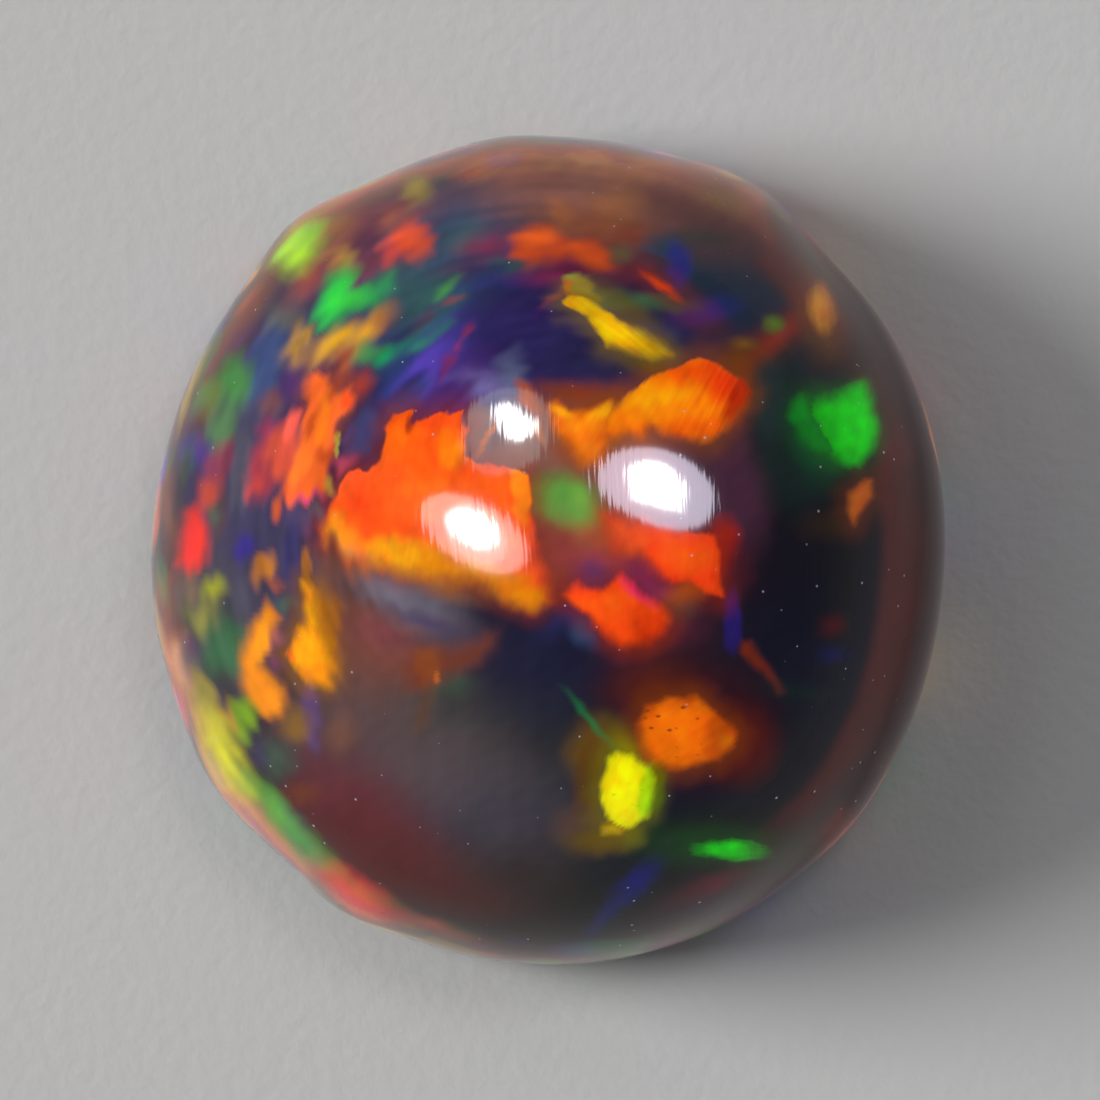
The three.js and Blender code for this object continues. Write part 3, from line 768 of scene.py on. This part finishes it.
# Colour runs on within the sheets: the great one first, from red at its top to amber below
tint("#f04a1e", -1.39, 1.57, 0.5, 0.17, 8, 0.18, 0.7)
tint("#ff7814", -1.84, 1.4, 0.28, 0.14, 20, 0.14, 0.7)
tint("#ff8414", -1.21, 1.26, 0.16, 0.22, 0, 0.16, 0.8)
tint("#f85a3c", -2.41, 0.93, 0.3, 0.14, 40, 0.14, 0.7)
tint("#ff6c1e", -1.59, 0.62, 0.7, 0.3, -20, 0.3, 0.6)
tint("#ff8c20", -0.32, 0.75, 0.12, 0.4, 0, 0.12, 0.8)
tint("#e8502c", -0.14, 0.06, 0.16, 0.5, -6, 0.2, 0.75)
tint("#e06030", -0.91, 1.19, 0.25, 0.1, 30, 0.1, 0.6)
blush("#dc8410", shard([(-2.27, 0.2), (-1.84, 0.12), (-1.34, 0), (-0.59, -0.23), (-0.03, -0.45),
      (0.01, -0.85), (-0.72, -0.78), (-1.47, -0.53), (-2.34, -0.28)]), 0.14, 0.97)
tint("#f4a810", -1.89, -0.01, 0.34, 0.15, -22, 0.14, 0.85)
tint("#b06a14", -0.97, -0.47, 0.3, 0.1, -25, 0.1, 0.7)
tint("#ea9c20", -2.61, 0.23, 0.2, 0.24, -10, 0.16, 0.9)
tint("#b87448", -2.47, -0.03, 0.25, 0.12, -10, 0.12, 0.8)
tint("#9a3018", -1.71, 1.61, 0.07, 0.1, -30, 0.04, 0.8)
tint("#ffac00", 1.41, 1.93, 0.5, 0.16, 14, 0.16, 0.9)
tint("#ff7c10", 0.93, 1.68, 0.2, 0.12, 30, 0.12, 0.6)
tint("#fa5008", 1.81, 2.23, 0.35, 0.13, 20, 0.12, 0.8)
tint("#f03808", 2.21, 2.08, 0.3, 0.24, -20, 0.18, 0.9)
tint("#b42808", 2.44, 1.93, 0.15, 0.35, -20, 0.13, 0.9)
tint("#f86008", 1.91, 1.52, 0.4, 0.12, 10, 0.12, 0.8)
tint("#b8582c", 1.28, 1.48, 0.1, 0.12, 30, 0.07, 0.8)
tint("#d0541c", 0.41, 1.88, 0.3, 0.07, -5, 0.07, 0.9)
tint("#ffa812", 0.18, 1.76, 0.13, 0.06, -30, 0.05, 0.9)
tint("#f44418", -2.32, 0.6, 0.38, 0.2, 55, 0.18, 0.75)
tint("#ff8a14", -1.26, 1.23, 0.14, 0.2, 0, 0.14, 0.6)
tint("#e4480c", -1.79, 0.3, 0.5, 0.08, -12, 0.1, 0.5)
tint("#ffb014", 0.63, 1.71, 0.2, 0.05, 38, 0.05, 0.9)
tint("#ff9010", 0.44, 1.56, 0.14, 0.1, 0, 0.1, 0.7)
tint("#f05c30", 0.97, 0.19, 0.25, 0.25, 0, 0.2, 0.8)
tint("#ff6216", 1.78, -0.1, 0.25, 0.16, -20, 0.16, 0.8)
tint("#ff4228", 0.46, -0.5, 0.2, 0.08, -15, 0.1, 0.7)
tint("#ff6018", 0.73, -0.68, 0.3, 0.16, 0, 0.16, 0.8)
tint("#d83a10", 1.28, -0.97, 0.2, 0.25, 20, 0.16, 0.8)
tint("#e8306c", 1.16, -0.49, 0.24, 0.1, -38, 0.08, 0.9)
tint("#f8cc00", 0.91, 2.75, 0.3, 0.1, -40, 0.1, 0.85)
tint("#b88c04", 1.34, 2.49, 0.2, 0.08, -30, 0.1, 0.7)
tint("#ff9608", -2.87, -1.57, 0.16, 0.1, 0, 0.1, 0.6)
tint("#ff7010", -3.22, -1.23, 0.05, 0.14, 0, 0.06, 0.8)
tint("#ff7c0c", 1.51, -2.23, 0.3, 0.2, 0, 0.2, 0.7)
tint("#d86418", 1.78, -1.93, 0.4, 0.1, 5, 0.1, 0.6)
tint("#b84a10", 2.21, -2.3, 0.26, 0.4, -20, 0.14, 0.8)
tint("#d8780c", 2.23, -2.44, 0.1, 0.08, 0, 0.07, 0.7)
tint("#a8e800", 1.23, -3, 0.11, 0.34, -8, 0.09, 0.85)
tint("#00dc14", 3.86, 1.5, 0.2, 0.3, 0, 0.16, 0.8)
tint("#3c9010", 2.63, -3.77, 0.16, 0.1, 0, 0.12, 0.8)
tint("#a86c0c", 3.51, 2.9, 0.08, 0.2, 0, 0.08, 0.7)

# Two sheets that reach the surface took small pits in the polish
pitted = soft_step(lens((1.68, -2.15), 0.5, 0.42, -10), 0.1)
pitted = pitted + 0.5 * soft_step(lens((0.96, -3.06), 0.3, 0.15), 0.1)

# No sheet is even: its colour goes to yellow and back to red, and its light comes and goes
cloudy = wander(straight_x, straight_y, 0.55, 31)
mottled = wander(straight_x, straight_y, 0.2, 32)
sheet_colour *= np.clip(1 + 0.08 * cloudy + 0.05 * mottled, 0.5, 1.5)[:, None]
sheet_colour[:, 1] *= np.clip(1 + 0.1 * wander(straight_x, straight_y, 0.4, 33), 0.4, 1.7)
sheet_colour = np.clip(sheet_colour * [0.97, 0.88, 0.7], 0, 1)
haze_colour *= 0.9 + 0.08 * strokes[:, None]
haze_colour *= 1 + 0.04 * wander(straight_x, straight_y, 0.4, 34)[:, None]


# The polish mirrors the pale table on the steep flank and the room on top, more so the steeper
# it is, by Schlick's rule. The colour below is painted darker there by as much, as painted shade
# that makes up for the mirrored light. On the right the table lies in the stone's shadow.
ROOM_LIGHT = 0.13
HORIZON_LIGHT = 0.46
HORIZON_REACH = 0.55  # how high the light of the horizon goes: a share of straight up
TABLE_LIGHT = 0.44
TABLE_SHADOW = 0.2
HEAD_ON = 0.0244  # the share that the polish mirrors where it faces the camera
LEAST_HAZE = 0.35  # the share of the haze that the veil always leaves
normals = np.empty(len(points) * 3, np.float32)
stone_mesh.vertex_normals.foreach_get("vector", normals)
normals = normals.reshape(-1, 3)
facing = np.clip(normals[:, 2], 0, 1)
mirrored_up = 2 * facing**2 - 1
to_shadow = normals @ [0.99, -0.15, 0]
beside_shadow = abs(normals @ [0.15, 0.99, 0])
in_shadow = soft_step(to_shadow - 0.5 - beside_shadow, 0.4)
table = TABLE_LIGHT + (TABLE_SHADOW - TABLE_LIGHT) * in_shadow
sky = ROOM_LIGHT + (HORIZON_LIGHT - ROOM_LIGHT) * np.clip(1 - mirrored_up / HORIZON_REACH, 0, 1)
veil = sky + (table - sky) * soft_step(-mirrored_up, 0.05)
veil = veil * (HEAD_ON + (1 - HEAD_ON) * (1 - facing) ** 5)
haze_colour = np.maximum(haze_colour - veil[:, None], LEAST_HAZE * haze_colour)
sheet_colour = np.maximum(sheet_colour - veil[:, None], 0)

# Where nothing shines the stone is clearer, and its smoke is seen
DARK_COVER = 0.75  # how much the darkest haze covers
haze = haze * np.clip(DARK_COVER + 4 * haze_colour.max(1), 0, 1)

# Lower down the same sheets show from the side. The photograph has none of them, so they are
# strewn at random, in the same colours and sizes, and fainter the higher up the dome they lie.
# The right side of the dome stays as dark as the photograph has it.
FLECKS = ["#ff5a1a", "#f08214", "#e0b400", "#00bc1a", "#1c9a5c", "#2a2780", "#5633b0", "#b43a1c"]
FLECK_COUNT = 460
FLECKS_UP_TO = 3.6  # mm above the back
FLECKS_FADE_AT = 1.7  # mm above the back, where they grow faint
HALF_WIDE = 0.07  # mm, that of the smallest fleck: the largest are six times as wide
FLANK_HAZE = 0.45  # how much the flank's own brown covers
above = points[:, 2] - GIRDLE_HEIGHT - 0.5 + 0.25 * wander(points[:, 0], points[:, 1], 1.1, 61)
from_above = soft_step(above, 0.5)
haze_colour = haze_colour * from_above[:, None] + linear("#30201f") * (1 - from_above[:, None])
haze = haze * from_above + FLANK_HAZE * (1 - from_above)
low = np.flatnonzero(points[:, 2] < FLECKS_UP_TO)
flank = points[low]
low_colour, low_haze = haze_colour[low], haze[low]
rng = np.random.default_rng(11)
for fleck in range(FLECK_COUNT):
    turn = rng.uniform(0, 2 * np.pi)
    out = outline(turn)
    if fleck % 3 == 0:
        out, height = out * BACK_SHARE * np.sqrt(rng.uniform()), 0.0
    else:
        height = rng.uniform(0.05, FLECKS_UP_TO - 0.3 - 1.2 * max(np.cos(turn), 0))
    away = flank - [out * np.cos(turn), out * np.sin(turn), height]
    away = flank - flank[np.argmin((away**2).sum(1))]
    axis = rng.normal(size=3)
    axis = axis / np.linalg.norm(axis)
    along = away @ axis
    across = np.linalg.norm(away - along[:, None] * axis, axis=1)
    half_wide = HALF_WIDE * 6 ** rng.uniform()
    half_long = half_wide * rng.uniform(1.2, 3.5)
    depth = (1 - np.hypot(along / half_long, across / half_wide)) * half_wide
    depth = depth + 0.06 * wander(flank[:, 0] + flank[:, 2], flank[:, 1] - flank[:, 2], 0.4, fleck)
    faint = 1 - 0.82 * soft_step(height - FLECKS_FADE_AT, 0.9)
    cover = faint * rng.uniform(0.3, 1.0) * soft_step(depth, rng.uniform(0.03, 0.22))
    fleck_colour = linear(FLECKS[rng.integers(len(FLECKS))]) * rng.uniform(0.15, 1.0)
    low_colour = low_colour * (1 - cover[:, None]) + fleck_colour * cover[:, None]
    low_haze = low_haze * (1 - cover) + cover
haze_colour[low], haze[low] = low_colour, low_haze
sheet_cover = np.where(from_above > 0.5, np.clip(sheet_cover, NO_SHEET, -NO_SHEET), NO_SHEET)

# All of it is stored at the stone's points, for the material to read. A sheet's edge is frayed by
# the same length whether it is crisp or soft.
FRAY = 0.02  # mm
BACK_EDGE = 0.05  # mm above the back, where its finish ends
for name, kind, field, values in (
    ("haze", "FLOAT_COLOR", "color", np.column_stack([haze_colour, haze])),
    ("sheet", "FLOAT_COLOR", "color", np.column_stack([sheet_colour, np.ones(len(points))])),
    ("cover", "FLOAT", "value", sheet_cover),
    ("grain", "FLOAT_VECTOR", "vector", sheet_grain),
    ("streak", "FLOAT", "value", sheet_streak),
    ("back", "FLOAT", "value", soft_step(BACK_EDGE - points[:, 2], BACK_EDGE)),
    ("pitted", "FLOAT", "value", pitted),
    ("fray", "FLOAT", "value", FRAY / sheet_edge),
):
    attribute = stone_mesh.attributes.new(name, kind, "POINT")
    attribute.data.foreach_set(field, np.ascontiguousarray(values, np.float32).ravel())


def add(tree, kind, sockets=None, **settings):
    """Adds one node. A socket takes a plain value, an output, or a node for its first output."""
    node = tree.nodes.new("ShaderNode" + kind)
    for name, value in settings.items():
        setattr(node, name, value)
    for name, value in (sockets or {}).items():
        if isinstance(value, bpy.types.Node):
            value = next(output for output in value.outputs if output.enabled)
        if isinstance(value, bpy.types.NodeSocket):
            tree.links.new(value, node.inputs[name])
        else:
            node.inputs[name].default_value = value
    return node


def rgba(hex_colour):
    """An sRGB hex colour as a socket takes it."""
    return (*linear(hex_colour), 1.0)


# Smoked opal: silica glass with water in it, cut and polished to a wet gloss. Light goes in
# and comes back brown from the thin rim and hardly at all from the middle.
opal = bpy.data.materials.new("smoked opal, polished")
opal.use_nodes = True
tree = opal.node_tree
tree.nodes.clear()

place = add(tree, "TexCoord").outputs["Object"]
laid = {
    name: add(tree, "Attribute", attribute_name=name).outputs
    for name in ("haze", "sheet", "cover", "grain", "streak", "back", "pitted", "fray")
}
grain = laid["grain"]["Vector"]

# Torn edges: the sheets' cover is pushed in and out along their own grain, which is in mm
TEAR = (0.1667, 0.04167)  # mm along the grain and across it
tears = add(tree, "Mapping", {"Vector": grain, "Scale": (1 / TEAR[0], 1 / TEAR[1], 1.0)})
tears = add(tree, "TexNoise", {"Vector": tears, "Scale": 1.0, "Detail": 2.0})
torn = add(tree, "Math", {0: tears, 1: 2.4, 2: -1.2}, operation="MULTIPLY_ADD")
torn = add(tree, "Math", {0: torn, 1: laid["fray"]["Fac"]}, operation="MULTIPLY")
torn = add(tree, "Math", {0: laid["cover"]["Fac"], 1: torn}, operation="ADD")
near = {"Value": torn, "From Min": -1.0, "From Max": 1.0}
near = add(tree, "MapRange", near, interpolation_type="SMOOTHSTEP")

# The sheets laid over the haze
colour = {0: near, 6: laid["haze"]["Color"], 7: laid["sheet"]["Color"]}
colour = add(tree, "Mix", colour, data_type="RGBA")
solid = add(tree, "Math", {0: laid["haze"]["Alpha"], 1: near}, operation="MAXIMUM")

# Streaks, with finer ones in them. They are redder where dark and yellower where bright.
STREAK = (0.769, 0.06667)  # mm along the grain and across it
streaks = add(tree, "Mapping", {"Vector": grain, "Scale": (1 / STREAK[0], 1 / STREAK[1], 1.0)})
streaks = add(tree, "TexNoise", {"Vector": streaks, "Scale": 1.0, "Detail": 3.0})
swing = add(tree, "Math", {0: streaks, 1: 0.5}, operation="SUBTRACT")
strength = {0: near, 1: laid["streak"]["Fac"], 2: 0.03}
strength = add(tree, "Math", strength, operation="MULTIPLY_ADD")
swing = add(tree, "Math", {0: swing, 1: strength}, operation="MULTIPLY")
shade = {0: swing, 1: (2.0, 5.0, 4.0), 2: (1.0, 1.0, 1.0)}
shade = add(tree, "VectorMath", shade, operation="MULTIPLY_ADD")
colour = add(tree, "Mix", {0: 1.0, 6: colour, 7: shade}, data_type="RGBA", blend_type="MULTIPLY")

# Dust: specks of up to 0.05 mm on the polish, larger in some places than in others
DUST_APART = 0.2941  # mm
DUST_PATCH = 2.0  # mm
dust = add(tree, "TexVoronoi", {"Vector": place, "Scale": 1 / (DUST_APART * MM)})
patch = add(tree, "TexNoise", {"Vector": place, "Scale": 1 / (DUST_PATCH * MM), "Detail": 1.0})
reach = {"Value": patch, "From Min": 0.25, "From Max": 0.65, "To Min": 0.02, "To Max": 0.085}
reach = add(tree, "MapRange", reach)
speck = add(tree, "MapRange", {"Value": dust, "From Max": reach, "To Min": 1.26, "To Max": 0.0})
speck = add(tree, "Math", {0: speck, 1: 1.0}, operation="MINIMUM")

# Pits of 0.04 to 0.06 mm, where the grinding cut a sheet open
PITS_APART = (0.1667, 0.1053, 0.125)  # mm along X, Y and Z
pits = {
    "Vector": place,
    "Rotation": (0.0, 0.0, -0.6),
    "Scale": [1 / (size * MM) for size in PITS_APART],
}
pits = add(tree, "TexVoronoi", {"Vector": add(tree, "Mapping", pits), "Scale": 1.0})
pit = {"Value": pits, "From Min": 0.08, "From Max": 0.26, "To Min": 0.75, "To Max": 0.0}
pit = add(tree, "MapRange", pit)
pit = add(tree, "Math", {0: pit, 1: laid["pitted"]["Fac"]}, operation="MULTIPLY")
colour = add(tree, "Mix", {0: pit, 6: colour, 7: rgba("#5a1c08")}, data_type="RGBA")
colour = add(tree, "Mix", {0: speck, 6: colour, 7: rgba("#a8a8b8")}, data_type="RGBA")
solid = add(tree, "Math", {0: solid, 1: speck}, operation="MAXIMUM")

# The polish: fine curved scratches that only show beside the white reflections. Real ones
# are 0.01 mm apart; these are drawn five times as coarse to be seen at all. The flat back was
# only ground fine, so it is duller.
SCRATCH = (0.05, 0.8333, 0.8333)  # mm along X, Y and Z
SCRATCH_DEPTH = 0.001  # mm
BOW = 1.2  # mm, the most that a scratch is pushed aside
BOW_LENGTH = 4.545  # mm from one bow to the next
bows = add(tree, "TexNoise", {"Vector": place, "Scale": 1 / (BOW_LENGTH * MM), "Detail": 0.0})
bowed = {0: bows.outputs["Color"], 1: (BOW * MM, BOW * MM, 0.0), 2: place}
scratches = {
    "Vector": add(tree, "VectorMath", bowed, operation="MULTIPLY_ADD"),
    "Rotation": (0.0, 0.0, -0.15),
    "Scale": [1 / (size * MM) for size in SCRATCH],
}
scratches = add(tree, "Mapping", scratches)
scratches = add(tree, "TexNoise", {"Vector": scratches, "Scale": 1.0, "Detail": 1.0})
polish = {"Height": scratches, "Strength": 1.0, "Distance": SCRATCH_DEPTH * MM}
polish = add(tree, "Bump", polish)
rough = add(tree, "MapRange", {"Value": laid["back"]["Fac"], "To Min": 0.07, "To Max": 0.38})

# Part of the colour is painted glow: it shines by itself, like light that the sheets send back
# from inside the stone, and part shows in the light that falls on it. Between the sheets the silica
# is clear.
SHINE = 0.6
SMOKE = 7000.0  # per m: about half of the light is lost in each 0.6 mm
clear = add(tree, "Math", {0: 1.0, 1: solid}, operation="SUBTRACT")
dimmed = {0: 1.0, 6: colour, 7: (SHINE, SHINE, SHINE, 1.0)}
dimmed = add(tree, "Mix", dimmed, data_type="RGBA", blend_type="MULTIPLY")
painted_glow = add(tree, "Mix", {0: 1.0, 6: colour, 7: solid}, data_type="RGBA", blend_type="MULTIPLY")
gloss = add(
    tree,
    "BsdfPrincipled",
    {
        "Base Color": dimmed,
        "Roughness": rough,
        "IOR": 1.37,
        "Transmission Weight": clear,
        "Normal": polish,
        "Emission Color": painted_glow,
        "Emission Strength": SHINE,
    },
)
smoke = add(tree, "VolumeAbsorption", {"Color": rgba("#f3eae4"), "Density": SMOKE})
add(tree, "OutputMaterial", {"Surface": gloss, "Volume": smoke})
opal.cycles.emission_sampling = "NONE"  # too weak to light anything round it
stone_mesh.materials.append(opal)


# The floor: a plain pale studio table, painted board with a faint tooth. One flat face, just
# under the stone's back.
FLOOR_GAP = 0.00002  # m
FLOOR_HALF = 0.5  # m
TOOTH = 0.2  # mm from one grain of the paint to the next
TOOTH_DEPTH = 0.02  # mm
floor_mesh = bpy.data.meshes.new("floor")
floor_mesh.from_pydata(
    [(x * FLOOR_HALF, y * FLOOR_HALF, -FLOOR_GAP) for x, y in ((-1, -1), (1, -1), (1, 1), (-1, 1))],
    [],
    [(0, 1, 2, 3)],
)
floor = bpy.data.objects.new("floor", floor_mesh)
bpy.context.scene.collection.objects.link(floor)
board = bpy.data.materials.new("painted board")
board.use_nodes = True
tree = board.node_tree
paint = tree.nodes["Principled BSDF"].inputs
paint["Base Color"].default_value = rgba("#c9c8c6")
paint["Roughness"].default_value = 0.7
place = add(tree, "TexCoord").outputs["Object"]
tooth = add(tree, "TexNoise", {"Vector": place, "Scale": 1 / (TOOTH * MM), "Detail": 2.0})
tooth = add(tree, "Bump", {"Height": tooth, "Strength": 0.5, "Distance": TOOTH_DEPTH * MM})
tree.links.new(tooth.outputs[0], paint["Normal"])
floor_mesh.materials.append(board)


# The camera looks straight down on the dome, as the photograph looks at the upright stone.
FRAME_ACROSS = 1100 / 80  # mm of the floor that the square frame takes in
MIDDLE_OFF = 0.03  # mm that the stone's middle stands left of the frame's
camera_data = bpy.data.cameras.new("camera")
camera_data.sensor_width = 36.0
camera_data.lens = 36.0 * CAMERA_HEIGHT / FRAME_ACROSS
camera = bpy.data.objects.new("camera", camera_data)
camera.location = (MIDDLE_OFF * MM, 0, CAMERA_HEIGHT * MM)
bpy.context.scene.collection.objects.link(camera)
bpy.context.scene.camera = camera


# The light: one wide key lamp, and small soft lamps whose reflections fall where the photograph's
# white spots are. Each spot has a bright core and a dimmer cloth round it.
LAMP_AWAY = 6.0  # m from the stone
on_dome = points[:, 2] > GIRDLE_HEIGHT


def lamp(name, towards, across, along, turn, strength, shape="ELLIPSE"):
    """An area lamp that faces the stone from this direction, and how bright its face is.

    Its size is in m at a distance of 1 m, so that its image keeps its size from further off.
    Its own X stays level with the world's X, so that its image in the dome stands as the lamp
    does, then it is turned by so many degrees.
    """
    side = (Vector((1, 0, 0)) - towards * towards.x).normalized()
    data = bpy.data.lights.new(name, "AREA")
    data.shape = shape
    data.size = across * LAMP_AWAY
    data.size_y = along * LAMP_AWAY
    data.energy = strength * data.size * data.size_y * np.pi
    lamp_object = bpy.data.objects.new(name, data)
    axes = Matrix((side, towards.cross(side), towards)).transposed()
    lamp_object.matrix_world = (
        Matrix.Translation(Vector((0, 0, HEIGHT * MM)) + towards * LAMP_AWAY)
        @ axes.to_4x4()
        @ Matrix.Rotation(np.radians(turn), 4, "Z")
    )
    lamp_object.visible_camera = False
    bpy.context.scene.collection.objects.link(lamp_object)
    return lamp_object


def mirrored(name, at, *shape):
    """A lamp that only makes the white reflection seen at this place, in mm from above."""
    away = np.hypot(straight_x - at[0], straight_y - at[1]) + 100 * ~on_dome
    nearest = int(np.argmin(away))
    normal = Vector(normals[nearest].tolist())
    stand = Vector((points[nearest] * MM).tolist())
    to_camera = (camera.location - stand).normalized()
    made = lamp(name, 2 * normal.dot(to_camera) * normal - to_camera, *shape)
    made.location += stand - Vector((0, 0, HEIGHT * MM))
    made.visible_diffuse = False
    return made


mirrored("lamp left", (-0.94, 0.26), 0.24, 0.115, -26, 42)
mirrored("lamp left rim", (-0.91, 0.20), 0.3, 0.18, -32, 6)
mirrored("lamp left cloth", (-0.93, 0.23), 0.5, 0.22, -26, 9)
mirrored("lamp top", (-0.46, 1.60), 0.1, 0.19, 25, 42)
mirrored("lamp top edge", (-0.29, 1.54), 0.08, 0.09, 0, 36)
mirrored("lamp top cloth", (-0.53, 1.52), 0.36, 0.36, 0, 3.2)
mirrored("lamp right", (1.37, 0.84), 0.23, 0.17, -8, 42)
mirrored("lamp right foot", (1.37, 0.74), 0.21, 0.12, -5, 42, "RECTANGLE")
cloth = mirrored("lamp right cloth", (1.44, 0.81), 0.5, 0.31, -3, 17)
cloth.data.color = linear("#f3eaff")
key = lamp("key", Vector((-0.81, 0.12, 0.57)).normalized(), 0.5, 0.5, 0, 11.5)
key.visible_glossy = False

# The room: an even pale light, brighter towards the horizon, so that the table has no far edge
world = bpy.data.worlds.new("studio")
world.use_nodes = True
tree = world.node_tree
up = add(tree, "TexCoord").outputs["Generated"]
up = add(tree, "SeparateXYZ", {0: up}).outputs["Z"]
bright = {"Value": up, "From Max": HORIZON_REACH, "To Min": HORIZON_LIGHT, "To Max": ROOM_LIGHT}
bright = add(tree, "MapRange", bright)
backdrop = tree.nodes["Background"].inputs
backdrop["Color"].default_value = rgba("#f9fcff")
tree.links.new(bright.outputs[0], backdrop["Strength"])
world.cycles.sampling_method = "NONE"  # it is even enough to be met by chance alone
bpy.context.scene.world = world
bpy.context.scene.view_settings.view_transform = "Standard"
